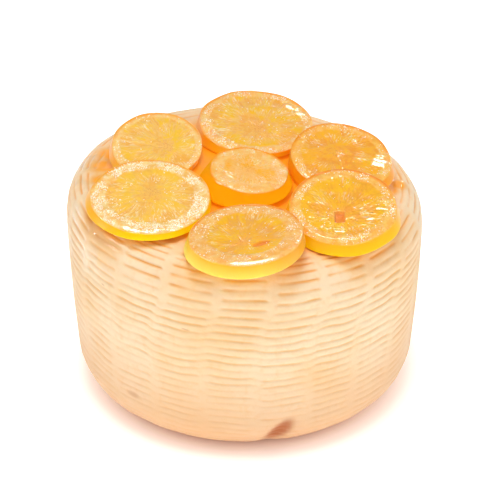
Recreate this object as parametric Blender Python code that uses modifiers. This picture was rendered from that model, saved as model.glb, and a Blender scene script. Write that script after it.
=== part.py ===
"""A small basket-pressed cheese wheel, topped with seven glazed slices of candied citrus.

Metres, +Z up. The origin is the middle of the flat base, and the front of the wheel faces -Y.
"""

import math
from dataclasses import dataclass

import bmesh
import bpy
from mathutils import Vector

MM = 0.001

# Wheel
WHEEL_RADIUS = 78.0 * MM
WHEEL_HEIGHT = 95.8 * MM
CROWN = 4.5 * MM
SHOULDER_REACH = 10.9 * MM
SHOULDER_DROP = 15.2 * MM
BASE_RADIUS = 52.4 * MM
FOOT_REACH = 22.5 * MM
FOOT_RISE = 20.2 * MM
BELLY = 0.6 * MM
HEIGHT_LEAN = 0.037

# Basket weave pressed into the rind
STAKES = 21
STEPS_PER_PANEL = 4
STAKE_PHASE = math.radians(6.2)
STAKE_LEAN = math.radians(0.117) / MM
STAKE_LEVEL = 72.0 * MM
ROW_PITCH_TOP = 5.0 * MM
ROW_PITCH_FOOT = 4.1 * MM
ROWS = 28
ROW_SHIFT = 0.24
GROOVE_DEPTH = 1.0 * MM
PLAIN_RINGS = 3
CALM_ROWS = 4

# Dent near the foot, to the right of the front
DENT_ANGLE = math.radians(17.0)
DENT_LEVEL = 7.0 * MM
DENT_SIZE = 5.0 * MM
DENT_DEPTH = 1.2 * MM

# Slices
SLICE_STEPS = 36
EDGE_ROUND = 0.7 * MM
PULP_RECESS = 0.35 * MM
RIND_SHARE = 0.16
CORE_DEPTH_SHARE = 0.6
WELL_SHARE = 0.55


@dataclass(frozen=True)
class Slice:
    """One candied slice. Sizes are in millimetres and angles in degrees.

    The place is the middle of its upper face, tilt is its slope and downhill the bearing of its low side.
    The cut is the slope of the upper face against the foot, and flare is how much wider the foot is.
    The core is where the segments meet, measured from the middle of the slice, with a hole there in some.
    """

    name: str
    place: tuple
    tilt: float
    downhill: float
    diameter: float
    thickness: float
    flare: float
    oval: float = 1.0
    cut: float = 0.0
    core: tuple = (0.0, 0.0)
    foot_shift: tuple = (0.0, 0.0)
    hole: float = 0.0


SLICES = (
    Slice(
        "slice_back_left", (-38.2, 12.3, 107.8), 4.3, -78, 39.5, 5.0,
        0.2, 1.16, 5.0, (4.7, -1.5), (-1.6, -0.8),
    ),
    Slice(
        "slice_back_mid", (5.1, 36.7, 106.0), 1.6, -50, 50.5, 5.0,
        0.2, 1.0, 4.5, (0.5, -4.5), (-2.0, -1.2),
    ),
    Slice(
        "slice_back_right", (41.9, 4.4, 106.0), 6.9, -60, 44.2, 6.5,
        1.2, 1.01, 6.5, (-2.2, 3.0), (0.4, -0.8),
    ),
    Slice(
        "slice_centre", (2.1, -9.3, 107.5), 0.0, -30, 33.3, 6.3,
        4.0, 1.0, 9.1, foot_shift=(-2.5, -3.0),
    ),
    Slice(
        "slice_front_left", (-40.0, -31.5, 107.2), 6.3, -79, 50.6, 4.5,
        1.3, 0.97, 3.0, (0.5, 3.0), (-0.9, -0.2),
    ),
    Slice(
        "slice_front_right", (41.3, -38.2, 106.3), 11.0, -94, 45.4, 7.0,
        1.8, 1.01, 2.0, (-1.6, -6.6), hole=1.9,
    ),
    Slice(
        "slice_front_mid", (0.5, -61.4, 106.6), 4.5, -154, 47.6, 6.2,
        1.5, 0.96, 0.0, (-0.7, -7.0), (-1.0, -0.6),
    ),
)

RIND_COLOUR = (0.91, 0.70, 0.43, 1.0)
PALE_SLICE_COLOUR = (0.95, 0.50, 0.07, 1.0)


def material(name, colour, roughness):
    """A plain Principled material."""
    made = bpy.data.materials.new(name)
    made.use_nodes = True
    shader = made.node_tree.nodes["Principled BSDF"]
    shader.inputs["Base Color"].default_value = colour
    shader.inputs["Roughness"].default_value = roughness
    shader.inputs["Metallic"].default_value = 0.0
    return made


def turned(name, profile, steps, collection):
    """A mesh object turned round Z from a profile of (radius, height) that runs from the top down.

    Its vertices keep the order of the turn: all of the profile's points at one step, then at the next.
    """
    line = bpy.data.meshes.new(name + "_profile")
    points = [(radius, 0.0, height) for radius, height in profile]
    line.from_pydata(points, [(i, i + 1) for i in range(len(points) - 1)], [])
    guide = bpy.data.objects.new(name + "_profile", line)
    collection.objects.link(guide)
    screw = guide.modifiers.new("Turn", "SCREW")
    screw.angle = math.tau
    screw.steps = steps
    screw.render_steps = steps
    screw.use_merge_vertices = False
    solid = bpy.data.meshes.new_from_object(guide.evaluated_get(bpy.context.evaluated_depsgraph_get()))
    bpy.data.objects.remove(guide)
    made = bpy.data.objects.new(name, solid)
    collection.objects.link(made)
    return made


def close_solid(made, finish):
    """Welds the seam and the poles, turns the faces outwards and dresses the object."""
    shape = bmesh.new()
    shape.from_mesh(made.data)
    bmesh.ops.remove_doubles(shape, verts=shape.verts, dist=1e-6)
    bmesh.ops.dissolve_degenerate(shape, edges=shape.edges, dist=1e-7)
    bmesh.ops.recalc_face_normals(shape, faces=shape.faces)
    bmesh.ops.triangulate(shape, faces=shape.faces)
    shape.to_mesh(made.data)
    shape.free()
    made.data.shade_smooth()
    made.data.set_sharp_from_angle(angle=math.radians(40))
    made.data.materials.clear()
    made.data.materials.append(finish)


def ellipse_length(reach, drop):
    """Length of a quarter of an ellipse."""
    ratio = ((reach - drop) / (reach + drop)) ** 2
    return math.pi / 4 * (reach + drop) * (1 + ratio / 4)


class WheelOutline:
    """The wheel's half section, measured along its line from the top of the axis down to the flat base."""

    def __init__(self):
        self.side_top = Vector((WHEEL_RADIUS, WHEEL_HEIGHT - SHOULDER_DROP))
        self.side_foot = Vector((BASE_RADIUS + FOOT_REACH, FOOT_RISE))
        self.crown_radius = WHEEL_RADIUS - SHOULDER_REACH
        self.lengths = (
            self.crown_radius,
            ellipse_length(SHOULDER_REACH, SHOULDER_DROP),
            (self.side_top - self.side_foot).length,
            ellipse_length(FOOT_REACH, FOOT_RISE),
        )
        self.total = sum(self.lengths)

    def point(self, along):
        """Radius and height at a distance along the line."""
        crown, shoulder, side, foot = self.lengths
        if along < crown:
            share = along / crown
            return Vector((share * self.crown_radius, WHEEL_HEIGHT + CROWN * (1 - share * share)))
        along -= crown
        if along < shoulder:
            turn = along / shoulder * math.pi / 2
            radius = self.crown_radius + SHOULDER_REACH * math.sin(turn)
            return Vector((radius, WHEEL_HEIGHT - SHOULDER_DROP * (1 - math.cos(turn))))
        along -= shoulder
        if along < side:
            share = along / side
            swell = BELLY * 4 * share * (1 - share)
            return self.side_top.lerp(self.side_foot, share) + Vector((swell, 0.0))
        turn = min((along - side) / foot, 1.0) * math.pi / 2
        return Vector((BASE_RADIUS + FOOT_REACH * math.cos(turn), FOOT_RISE * (1 - math.sin(turn))))

    def outward(self, along):
        """Unit direction out of the wheel at a distance along the line."""
        step = 0.2 * MM
        run = self.point(min(along + step, self.total)) - self.point(max(along - step, 0.0))
        return Vector((-run.y, run.x)).normalized()


def row_pitch(along, outline):
    """Spacing of the woven rows, which close up towards the foot."""
    return ROW_PITCH_TOP + (ROW_PITCH_FOOT - ROW_PITCH_TOP) * along / outline.total


def ring_places(outline):
    """Each ring as (distance along the line, share of the groove's depth, share of the rows' shift).

    From the foot up, each row has a ring on its ridge and one in its groove. Above the rows lies the crown.
    """
    rings = []
    along = outline.total - 0.5 * ROW_PITCH_FOOT
    for half_row in range(2 * ROWS):
        fade = min(1.0, (half_row + 1) / (2 * CALM_ROWS))
        rings.append((along, float(half_row % 2), fade))
        along -= row_pitch(along, outline) / 2
    crown_edge = along
    rings += [(crown_edge * (PLAIN_RINGS - i) / PLAIN_RINGS, 0.0, 0.0) for i in range(PLAIN_RINGS)]
    return [(0.0, 0.0, 0.0)] + rings[::-1] + [(outline.total, 0.0, 0.0)]


def panel_shift(panel):
    """How far the rows of a panel between two stakes are offset, as a share of a row."""
    return ROW_SHIFT * math.sin(2.3 * panel + 0.6)


def dent_depth(angle, level):
    """Depth of the dent at a place on the rind."""
    across = (angle - DENT_ANGLE) * WHEEL_RADIUS
    upward = level - DENT_LEVEL
    return DENT_DEPTH * math.exp(-(across**2 + upward**2) / DENT_SIZE**2)


def rind_point(step, ring, outline):
    """A point of the woven rind, from its step round the wheel and its ring."""
    along, groove, shift_share = ring
    panel, quarter = divmod(step % (STAKES * STEPS_PER_PANEL), STEPS_PER_PANEL)
    shift = panel_shift(panel)
    if quarter == 0:
        shift = (panel_shift(panel) + panel_shift(panel - 1)) / 2
    along += shift * shift_share * row_pitch(along, outline)
    flat = outline.point(along)
    across = math.sin(math.pi * quarter / STEPS_PER_PANEL)
    angle = STAKE_PHASE + math.tau * step / (STAKES * STEPS_PER_PANEL)
    angle += STAKE_LEAN * (flat.y - STAKE_LEVEL)
    inward = groove * GROOVE_DEPTH * across + dent_depth(math.remainder(angle, math.tau), flat.y)
    radius, height = flat - outline.outward(along) * inward
    x = radius * math.sin(angle)
    return Vector((x, -radius * math.cos(angle), height * (1 - HEIGHT_LEAN * x / WHEEL_RADIUS)))


def build_wheel(collection, finish):
    """The cheese wheel, turned and then pressed with the basket's weave."""
    outline = WheelOutline()
    rings = ring_places(outline)
    profile = [tuple(outline.point(along)) for along, _, _ in rings] + [(0.0, 0.0)]
    steps = STAKES * STEPS_PER_PANEL
    wheel = turned("cheese_wheel", profile, steps, collection)
    for index, vertex in enumerate(wheel.data.vertices):
        step, place = divmod(index, len(profile))
        if place in (0, len(profile) - 1):
            continue
        if place == len(profile) - 2:
            angle = math.tau * step / steps
            vertex.co = (BASE_RADIUS * math.sin(angle), -BASE_RADIUS * math.cos(angle), 0.0)
            continue
        vertex.co = rind_point(step, rings[place], outline)
    close_solid(wheel, finish)
    return wheel


def slice_profile(piece):
    """Half section of a slice from the middle of its upper face, at height 0, to the middle of its foot."""
    radius = piece.diameter / 2 * MM
    foot_radius = radius + piece.flare * MM
    depth = piece.thickness * MM
    rind = radius * RIND_SHARE
    profile = [(0.0, -PULP_RECESS)]
    if piece.hole:
        well = piece.hole * MM
        profile = [(0.0, -WELL_SHARE * depth), (0.8 * well, -WELL_SHARE * depth), (well, -PULP_RECESS)]
    profile += [
        (radius - rind, -PULP_RECESS),
        (radius - EDGE_ROUND, 0.0),
        (radius, -EDGE_ROUND),
        (foot_radius, EDGE_ROUND - depth),
        (foot_radius - EDGE_ROUND, -depth),
        (0.0, -depth),
    ]
    return profile


def downhill_line(piece):
    """Level unit direction towards the low side of a slice."""
    bearing = math.radians(piece.downhill)
    return Vector((math.cos(bearing), math.sin(bearing)))


def shape_slice(made, piece):
    """Makes the slice oval, moves its core off the middle, shears its side and slopes its upper face."""
    radius = piece.diameter / 2 * MM
    depth = piece.thickness * MM
    core = Vector(piece.core) * MM
    foot_shift = Vector(piece.foot_shift) * MM
    fall = math.tan(math.radians(piece.cut)) * downhill_line(piece)
    for vertex in made.data.vertices:
        flat = Vector(vertex.co.xy)
        down = min(1.0, -vertex.co.z / depth)
        inner = max(0.0, 1 - flat.length / (radius * (1 - RIND_SHARE)))
        if down < CORE_DEPTH_SHARE:
            flat += core * inner
        flat += foot_shift * down
        flat.y *= piece.oval
        vertex.co = (flat.x, flat.y, vertex.co.z - (1 - down) * flat.dot(fall))


def build_slice(piece, collection, finish):
    """One slice, laid where it rests."""
    made = turned(piece.name, slice_profile(piece), SLICE_STEPS, collection)
    shape_slice(made, piece)
    close_solid(made, finish)
    tilt = math.radians(piece.tilt)
    upward = Vector((*downhill_line(piece) * math.sin(tilt), math.cos(tilt)))
    made.rotation_mode = "QUATERNION"
    made.rotation_quaternion = Vector((0, 0, 1)).rotation_difference(upward)
    made.location = Vector(piece.place) * MM
    return made


def main():
    """Builds the wheel and its slices."""
    for old in list(bpy.data.objects):
        bpy.data.objects.remove(old)
    collection = bpy.data.collections.new("lemon_cheese")
    bpy.context.scene.collection.children.link(collection)
    build_wheel(collection, material("cheese_rind", RIND_COLOUR, 0.45))
    candied = material("candied_citrus", PALE_SLICE_COLOUR, 0.15)
    for piece in SLICES:
        build_slice(piece, collection, candied)


main()
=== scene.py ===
"""Basket-pressed cheese wheel with a woven rind, topped by seven glazed slices of candied citrus.

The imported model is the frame. The wheel and each slice are built again here in fine relief and stand for
their CAD nodes. Lengths in the classes are millimetres; meshes are in metres.
"""

import logging
import math
from collections.abc import Iterable
from dataclasses import dataclass
from enum import Enum
from typing import Any

import bpy
import numpy as np
from mathutils import Matrix, Vector


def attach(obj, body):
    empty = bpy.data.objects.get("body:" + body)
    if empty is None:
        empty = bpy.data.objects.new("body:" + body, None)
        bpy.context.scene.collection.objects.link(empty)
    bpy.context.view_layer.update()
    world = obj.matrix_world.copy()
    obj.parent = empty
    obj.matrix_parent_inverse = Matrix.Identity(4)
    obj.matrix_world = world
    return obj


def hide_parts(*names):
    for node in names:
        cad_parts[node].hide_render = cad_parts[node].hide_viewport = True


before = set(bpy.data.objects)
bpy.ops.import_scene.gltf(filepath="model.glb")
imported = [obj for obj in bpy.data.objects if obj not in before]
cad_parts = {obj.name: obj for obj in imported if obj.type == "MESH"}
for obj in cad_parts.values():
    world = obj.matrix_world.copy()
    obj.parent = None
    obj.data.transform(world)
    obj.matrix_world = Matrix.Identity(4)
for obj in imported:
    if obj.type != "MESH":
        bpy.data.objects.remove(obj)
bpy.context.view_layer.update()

MM = 0.001
TINY = 1e-9  # keeps a division by a length of nothing safe
BODY = "root"
log = logging.getLogger("lemon_cheese")


class Slot(Enum):
    """Names of material slots, which nothing in this script uses."""

    RIND = "cheese_rind"
    CITRUS = "candied_citrus"


class Keep(Enum):
    """The kinds of value that a mesh attribute holds, with the name that a data block reads them by."""

    NUMBER = ("FLOAT", "value")
    VECTOR = ("FLOAT_VECTOR", "vector")


# Small helpers


def linear(colour: str) -> tuple[float, float, float, float]:
    """Turns an sRGB hex colour into linear RGBA.

    Args:
        colour: The colour as "#RRGGBB".

    Returns:
        Red, green, blue and an alpha of 1.
    """
    shares = [int(colour[i : i + 2], 16) / 255 for i in (1, 3, 5)]
    red, green, blue = (s / 12.92 if s <= 0.04045 else ((s + 0.055) / 1.055) ** 2.4 for s in shares)
    return red, green, blue, 1.0


def add_node(
    tree: bpy.types.NodeTree, kind: str, inputs: dict | None = None, **settings: Any
) -> bpy.types.Node:
    """Adds a node with its settings, then sets or links its inputs.

    Args:
        tree: The node tree that gets the node.
        kind: Blender's name for the node's type.
        inputs: What goes into each input, by name or number: a node, a socket or a plain value.
        **settings: The node's own settings; stops is a colour ramp's list of (place, colour).

    Returns:
        The new node.
    """
    node = tree.nodes.new(kind)
    for name, value in settings.items():
        if name == "stops":
            ramp = node.color_ramp.elements
            while len(ramp) < len(value):
                ramp.new(0.5)
            for element, (place, colour) in zip(ramp, value):
                element.position = place
                element.color = linear(colour)
        else:
            setattr(node, name, value)
    for name, value in (inputs or {}).items():
        if isinstance(value, bpy.types.Node):
            value = next(output for output in value.outputs if output.enabled)
        if isinstance(value, bpy.types.NodeSocket):
            tree.links.new(value, node.inputs[name])
        else:
            node.inputs[name].default_value = value
    return node


def new_material(name: str) -> tuple[bpy.types.Material, bpy.types.NodeTree, bpy.types.Node]:
    """Starts a material with one Principled surface.

    Args:
        name: The material's name.

    Returns:
        The material, its node tree and the surface node.
    """
    material = bpy.data.materials.new(name)
    material.use_nodes = True
    tree = material.node_tree
    tree.nodes.clear()
    surface = add_node(tree, "ShaderNodeBsdfPrincipled")
    add_node(tree, "ShaderNodeOutputMaterial", {"Surface": surface})
    return material, tree, surface


def new_tree(name: str, sizes: dict[str, tuple[str, Any]]) -> tuple[bpy.types.NodeTree, bpy.types.Node]:
    """Starts a Geometry Nodes tree with named inputs.

    Args:
        name: The tree's name.
        sizes: Each input's socket type and first value, by name.

    Returns:
        The tree and its input node.
    """
    tree = bpy.data.node_groups.new(name, "GeometryNodeTree")
    tree.interface.new_socket("Geometry", in_out="INPUT", socket_type="NodeSocketGeometry")
    for label, (kind, value) in sizes.items():
        socket = tree.interface.new_socket(label, in_out="INPUT", socket_type=kind)
        if value is not None:
            socket.default_value = value
    tree.interface.new_socket("Geometry", in_out="OUTPUT", socket_type="NodeSocketGeometry")
    return tree, add_node(tree, "NodeGroupInput")


def grow(
    base: bpy.types.Object, tree: bpy.types.NodeTree, values: dict[str, Any], name: str
) -> bpy.types.Object:
    """Runs a Geometry Nodes tree on an object and keeps the result as a plain mesh.

    Args:
        base: The object that the tree starts from; it is removed afterwards.
        tree: The tree.
        values: The tree's named inputs for this piece.
        name: The finished piece's name.

    Returns:
        The finished piece, at the origin.
    """
    modifier = base.modifiers.new(tree.name, "NODES")
    modifier.node_group = tree
    sockets = {item.name: item.identifier for item in tree.interface.items_tree if item.in_out == "INPUT"}
    for label, value in values.items():
        modifier[sockets[label]] = value
    graph = bpy.context.evaluated_depsgraph_get()
    mesh = bpy.data.meshes.new_from_object(base.evaluated_get(graph), depsgraph=graph)
    mesh.name = name
    piece = bpy.data.objects.new(name, mesh)
    bpy.context.scene.collection.objects.link(piece)
    bpy.data.objects.remove(base)
    for polygon in piece.data.polygons:
        polygon.use_smooth = True
    return piece


def lathe_faces(rings: int, steps: int) -> list[tuple[int, ...]]:
    """Faces of a closed shape: a pole, rings of points from the top down, and the other pole.

    Args:
        rings: The number of rings between the poles.
        steps: The number of points on a ring.

    Returns:
        The faces, all pointing outwards.
    """
    last = 1 + rings * steps
    faces: list[tuple[int, ...]] = []
    for step in range(steps):
        after = (step + 1) % steps
        faces.append((0, 1 + step, 1 + after))
        for above in range(1, last - steps, steps):
            below = above + steps
            faces.append((above + step, below + step, below + after, above + after))
        faces.append((last, last - steps + after, last - steps + step))
    return faces


def new_mesh(name: str, points: np.ndarray, faces: list, kept: dict[str, np.ndarray]) -> bpy.types.Object:
    """Makes an object from points and faces, with attributes on its points.

    Args:
        name: The object's name.
        points: The points in metres, one a row.
        faces: The faces.
        kept: The attributes by name, one number or three a point.

    Returns:
        The object, linked to the scene.
    """
    mesh = bpy.data.meshes.new(name)
    mesh.from_pydata(points.tolist(), [], faces)
    for label, values in kept.items():
        kind, field_name = (Keep.NUMBER if values.ndim == 1 else Keep.VECTOR).value
        attribute = mesh.attributes.new(label, kind, "POINT")
        attribute.data.foreach_set(field_name, values.astype(np.float32).ravel())
    made = bpy.data.objects.new(name, mesh)
    bpy.context.scene.collection.objects.link(made)
    return made


def smooth(values: np.ndarray, low: float, high: float) -> np.ndarray:
    """Rises smoothly from 0 at low to 1 at high.

    Args:
        values: The numbers to place.
        low: Where the rise starts.
        high: Where it ends; it may lie below low, and then the step falls.

    Returns:
        A share for each number.
    """
    share = np.clip((values - low) / (high - low), 0, 1)
    return share * share * (3 - 2 * share)


def ripple(turns: np.ndarray, waves: Iterable[int], rng: np.random.Generator) -> np.ndarray:
    """A random closed wave round a circle.

    Args:
        turns: Places round the circle in radians.
        waves: The wave counts that are added up.
        rng: The source of the amplitudes and phases.

    Returns:
        The wave at each place, mostly between -1 and 1.
    """
    total = np.zeros_like(turns)
    for count in waves:
        total += rng.normal() / math.sqrt(count) * np.sin(count * turns + rng.uniform(0, 2 * math.pi))
    return total


# Slices


@dataclass(frozen=True)
class Cut:
    """A slit or hole in a slice's upper face, between two places in the slice's own plane."""

    start: tuple[float, float]
    end: tuple[float, float]
    width: float
    depth: float
    square: bool = False


@dataclass(frozen=True)
class Pool:
    """Syrup that has dried in a low smooth ridge on a slice, between two places in the slice's own plane."""

    start: tuple[float, float]
    end: tuple[float, float]
    width: float
    rise: float


@dataclass(frozen=True)
class CitrusColours:
    """The colours of one slice, as it looks on the cheese."""

    ring: str
    ring_deep: str
    pulp: str
    pulp_bright: str
    pulp_deep: str
    skin: str
    side_top: str
    side_foot: str


@dataclass(frozen=True)
class CandiedCitrus:
    """Candied citrus: fruit boiled in syrup until sugar fills it, then drained and dried.

    The sugar makes the flesh translucent, so light spreads inside it and the colours are deep and warm. The
    syrup dries to a hard, clear, slightly uneven glaze, which gives sharp white glints.

    juicy is the bearing of the side with the clearest juice, and deep_side that of the deepest skin colour.
    frosting is how white fine sugar makes the pith, and dried how many juice sacs have dried pale.
    """

    colours: CitrusColours
    seed: float
    juicy: float = 90.0
    deep_side: float = 120.0
    frosting: float = 0.4
    dried: float = 0.15
    roughness: float = 0.3
    ior: float = 1.4
    glaze: float = 0.9
    glaze_roughness: float = 0.04
    gloss: float = 0.25
    glow: float = 0.6
    glow_spread: tuple[float, float, float] = (1.0, 0.45, 0.12)
    glow_reach: float = 0.002
    # A faint orange emission is a painted glow, standing in for light that passes through the fruit.
    painted_glow: float = 0.05
    painted_glow_colour: str = "#FF9400"
    dried_sac: str = "#FEE9BC"
    fibre_end: str = "#D9793A"
    fine_sugar: str = "#FFF6E4"
    opening: str = "#EE9238"

    def material(self, name: str) -> bpy.types.Material:
        """The finish as a material.

        Args:
            name: The material's name.

        Returns:
            The material.
        """
        material, tree, surface = new_material(name)
        calc = "ShaderNodeMath"
        thin_glaze = 0.4 * self.gloss
        place = add_node(tree, "ShaderNodeTexCoord").outputs["Object"]
        spoke = add_node(tree, "ShaderNodeAttribute", attribute_name="spoke").outputs["Vector"]
        ring, rim, wall, well, membrane, sac, filled = (
            add_node(tree, "ShaderNodeAttribute", attribute_name=label).outputs["Fac"]
            for label in ("ring", "rim", "wall", "well", "membrane", "sac", "pool")
        )
        reach = add_node(tree, "ShaderNodeSeparateXYZ", {0: spoke}).outputs["Z"]
        c = self.colours

        def facing(bearing: float, low: float, high: float) -> bpy.types.Node:
            """Adds a node that tells how much a place lies on one side of the slice.

            Args:
                bearing: The side's bearing in degrees.
                low: The cosine to that bearing at which the share is 0.
                high: The cosine at which it is 1.

            Returns:
                The node.
            """
            aim = (math.cos(math.radians(bearing)), math.sin(math.radians(bearing)), 0)
            toward = add_node(tree, "ShaderNodeVectorMath", {0: spoke, 1: aim}, operation="DOT_PRODUCT")
            toward = toward.outputs["Value"]
            return add_node(tree, "ShaderNodeMapRange", {"Value": toward, "From Min": low, "From Max": high})

        # Juice sacs run outwards from the core: about 1 mm wide and 5 mm long at the pulp's edge. Near the
        # core they are tangled, without a direction.
        stretched = add_node(
            tree,
            "ShaderNodeMapping",
            {"Vector": spoke, "Scale": (6, 6, 2.2), "Location": (self.seed, 2 * self.seed, 0)},
        )
        streak = add_node(
            tree, "ShaderNodeTexNoise", {"Vector": stretched, "Scale": 1.0, "Detail": 3.0, "Distortion": 1.2}
        )
        tangle = add_node(
            tree, "ShaderNodeTexNoise", {"Vector": place, "Scale": 420.0, "Detail": 2.0, "Distortion": 1.0}
        )
        outward = add_node(
            tree,
            "ShaderNodeMapRange",
            {"Value": reach, "From Min": 0.3, "From Max": 0.6},
            interpolation_type="SMOOTHSTEP",
        )
        grain = add_node(
            tree, "ShaderNodeMix", {0: outward, 2: tangle.outputs["Fac"], 3: streak.outputs["Fac"]}
        )
        pool = add_node(tree, "ShaderNodeTexNoise", {"Vector": place, "Scale": 110.0, "Detail": 2.0})
        depth = add_node(tree, calc, {0: pool.outputs["Fac"], 1: grain}, operation="ADD")
        pulp = add_node(
            tree,
            "ShaderNodeValToRGB",
            {"Fac": add_node(tree, calc, {0: depth, 1: 0.5}, operation="MULTIPLY")},
            stops=[(0.42, c.pulp_deep), (0.5, c.pulp), (0.57, c.pulp_bright)],
        )
        # Clear juice shows brightest near the pulp's edge, most on one side.
        outer = add_node(tree, "ShaderNodeMapRange", {"Value": reach, "From Min": 0.5, "From Max": 0.85})
        clear = add_node(tree, calc, {0: facing(self.juicy, 0.1, 0.85), 1: outer}, operation="MULTIPLY")
        wet = add_node(
            tree, "ShaderNodeMapRange", {"Value": pool.outputs["Fac"], "From Min": 0.35, "From Max": 0.55}
        )
        clear = add_node(tree, calc, {0: clear, 1: wet}, operation="MULTIPLY")
        pulp = add_node(
            tree, "ShaderNodeMix", {0: clear, 6: pulp, 7: linear(c.pulp_bright)}, data_type="RGBA"
        )
        # Here and there a sac has dried pale, in strokes of about 0.5 by 3 mm.
        fine = add_node(
            tree,
            "ShaderNodeMapping",
            {"Vector": spoke, "Scale": (13, 13, 3.4), "Location": (self.seed, 0, self.seed)},
        )
        fine = add_node(
            tree, "ShaderNodeTexNoise", {"Vector": fine, "Scale": 1.0, "Detail": 2.0, "Distortion": 2.6}
        )
        patch = add_node(tree, "ShaderNodeTexNoise", {"Vector": place, "Scale": 170.0, "Detail": 1.0})
        patch = add_node(
            tree,
            "ShaderNodeMapRange",
            {"Value": patch, "From Min": 0.6 - self.dried, "From Max": 0.73 - self.dried},
        )
        pale = add_node(
            tree, "ShaderNodeMapRange", {"Value": fine, "From Min": 0.52, "From Max": 0.64, "To Max": 0.85}
        )
        pale = add_node(tree, calc, {0: pale, 1: patch}, operation="MULTIPLY")
        pale = add_node(tree, calc, {0: pale, 1: outward}, operation="MULTIPLY")
        dull = add_node(tree, calc, {0: 1.0, 1: clear}, operation="SUBTRACT")
        pale = add_node(tree, calc, {0: pale, 1: dull}, operation="MULTIPLY")
        pulp = add_node(
            tree, "ShaderNodeMix", {0: pale, 6: pulp, 7: linear(self.dried_sac)}, data_type="RGBA"
        )
        # The core is pale and pithy, with the dark ends of fibres.
        heart = add_node(
            tree,
            "ShaderNodeMapRange",
            {"Value": reach, "From Min": 0.34, "From Max": 0.08, "To Max": 0.7},
            interpolation_type="SMOOTHSTEP",
        )
        pulp = add_node(tree, "ShaderNodeMix", {0: heart, 6: pulp, 7: linear(c.ring_deep)}, data_type="RGBA")
        ends = add_node(tree, "ShaderNodeTexVoronoi", {"Vector": place, "Scale": 1300.0})
        ends = add_node(
            tree,
            "ShaderNodeMapRange",
            {"Value": ends.outputs["Distance"], "From Min": 0.4, "From Max": 0.2, "To Max": 0.9},
        )
        ends = add_node(tree, calc, {0: ends, 1: heart}, operation="MULTIPLY")
        pulp = add_node(
            tree, "ShaderNodeMix", {0: ends, 6: pulp, 7: linear(self.fibre_end)}, data_type="RGBA"
        )
        line = add_node(tree, calc, {0: membrane, 1: outward}, operation="MULTIPLY")
        line = add_node(tree, calc, {0: line, 1: 0.6}, operation="MULTIPLY")
        pulp = add_node(tree, "ShaderNodeMix", {0: line, 6: pulp, 7: linear(c.ring)}, data_type="RGBA")
        half_sac = add_node(tree, calc, {0: sac, 1: 0.25}, operation="MULTIPLY")
        pulp = add_node(
            tree, "ShaderNodeMix", {0: half_sac, 6: pulp, 7: linear(c.pulp_bright)}, data_type="RGBA"
        )

        # The pith's pores and the dried syrup on it vary over about 3 mm.
        cloud = add_node(tree, "ShaderNodeTexNoise", {"Vector": place, "Scale": 330.0, "Detail": 3.0})
        pith = add_node(
            tree,
            "ShaderNodeValToRGB",
            {"Fac": cloud.outputs["Fac"]},
            stops=[(0.38, c.ring_deep), (0.6, c.ring)],
        )
        # Fine sugar whitens the pith in clusters of grains of about 0.4 mm.
        frost = add_node(tree, "ShaderNodeTexNoise", {"Vector": place, "Scale": 1500.0, "Detail": 1.0})
        frost = add_node(tree, "ShaderNodeMapRange", {"Value": frost, "From Min": 0.5, "From Max": 0.62})
        crust = add_node(tree, "ShaderNodeTexNoise", {"Vector": place, "Scale": 260.0, "Detail": 2.0})
        crust = add_node(
            tree,
            "ShaderNodeMapRange",
            {"Value": crust, "From Min": 0.42, "From Max": 0.6, "To Max": self.frosting},
        )
        frost = add_node(tree, calc, {0: frost, 1: crust}, operation="MULTIPLY")
        pith = add_node(
            tree, "ShaderNodeMix", {0: frost, 6: pith, 7: linear(self.fine_sugar)}, data_type="RGBA"
        )
        face = add_node(tree, "ShaderNodeMix", {0: ring, 6: pulp, 7: pith}, data_type="RGBA")
        # The skin is painted as a darker line of about 1 mm along the rim at the back: partly the skin's own
        # colour, partly painted shade where the rim turns away.
        back_rim_skin_and_shade = add_node(tree, calc, {0: rim, 1: facing(95.0, 0.0, 0.45)}, operation="MULTIPLY")
        back_rim_skin_and_shade = add_node(tree, calc, {0: back_rim_skin_and_shade, 1: 0.9}, operation="MULTIPLY")
        face = add_node(tree, "ShaderNodeMix", {0: back_rim_skin_and_shade, 6: face, 7: linear(c.skin)}, data_type="RGBA")

        # The wall shows the coloured skin, lighter at the foot where light comes back off the cheese, and
        # deeper in colour towards one side.
        skin = add_node(
            tree,
            "ShaderNodeValToRGB",
            {"Fac": wall},
            stops=[(0.0, c.side_top), (0.9, c.side_foot)],
        )
        deeper_side_share = add_node(tree, calc, {0: facing(self.deep_side, 0.1, 1.1), 1: 0.8}, operation="MULTIPLY")
        skin = add_node(tree, "ShaderNodeMix", {0: deeper_side_share, 6: skin, 7: linear(c.skin)}, data_type="RGBA")
        on_wall = add_node(tree, "ShaderNodeMapRange", {"Value": wall, "From Min": 0.02, "From Max": 0.09})
        colour = add_node(tree, "ShaderNodeMix", {0: on_wall, 6: face, 7: skin}, data_type="RGBA")
        colour = add_node(
            tree, "ShaderNodeMix", {0: well, 6: colour, 7: linear(self.opening)}, data_type="RGBA"
        )

        # The glaze lies thick on the faces and thin on the wall.
        glaze = add_node(
            tree,
            "ShaderNodeMapRange",
            {"Value": wall, "From Max": 0.2, "To Min": self.glaze, "To Max": thin_glaze},
        )
        open_face = add_node(tree, calc, {0: 1.0, 1: back_rim_skin_and_shade}, operation="SUBTRACT")
        glaze = add_node(tree, calc, {0: glaze, 1: open_face}, operation="MULTIPLY")

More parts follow.
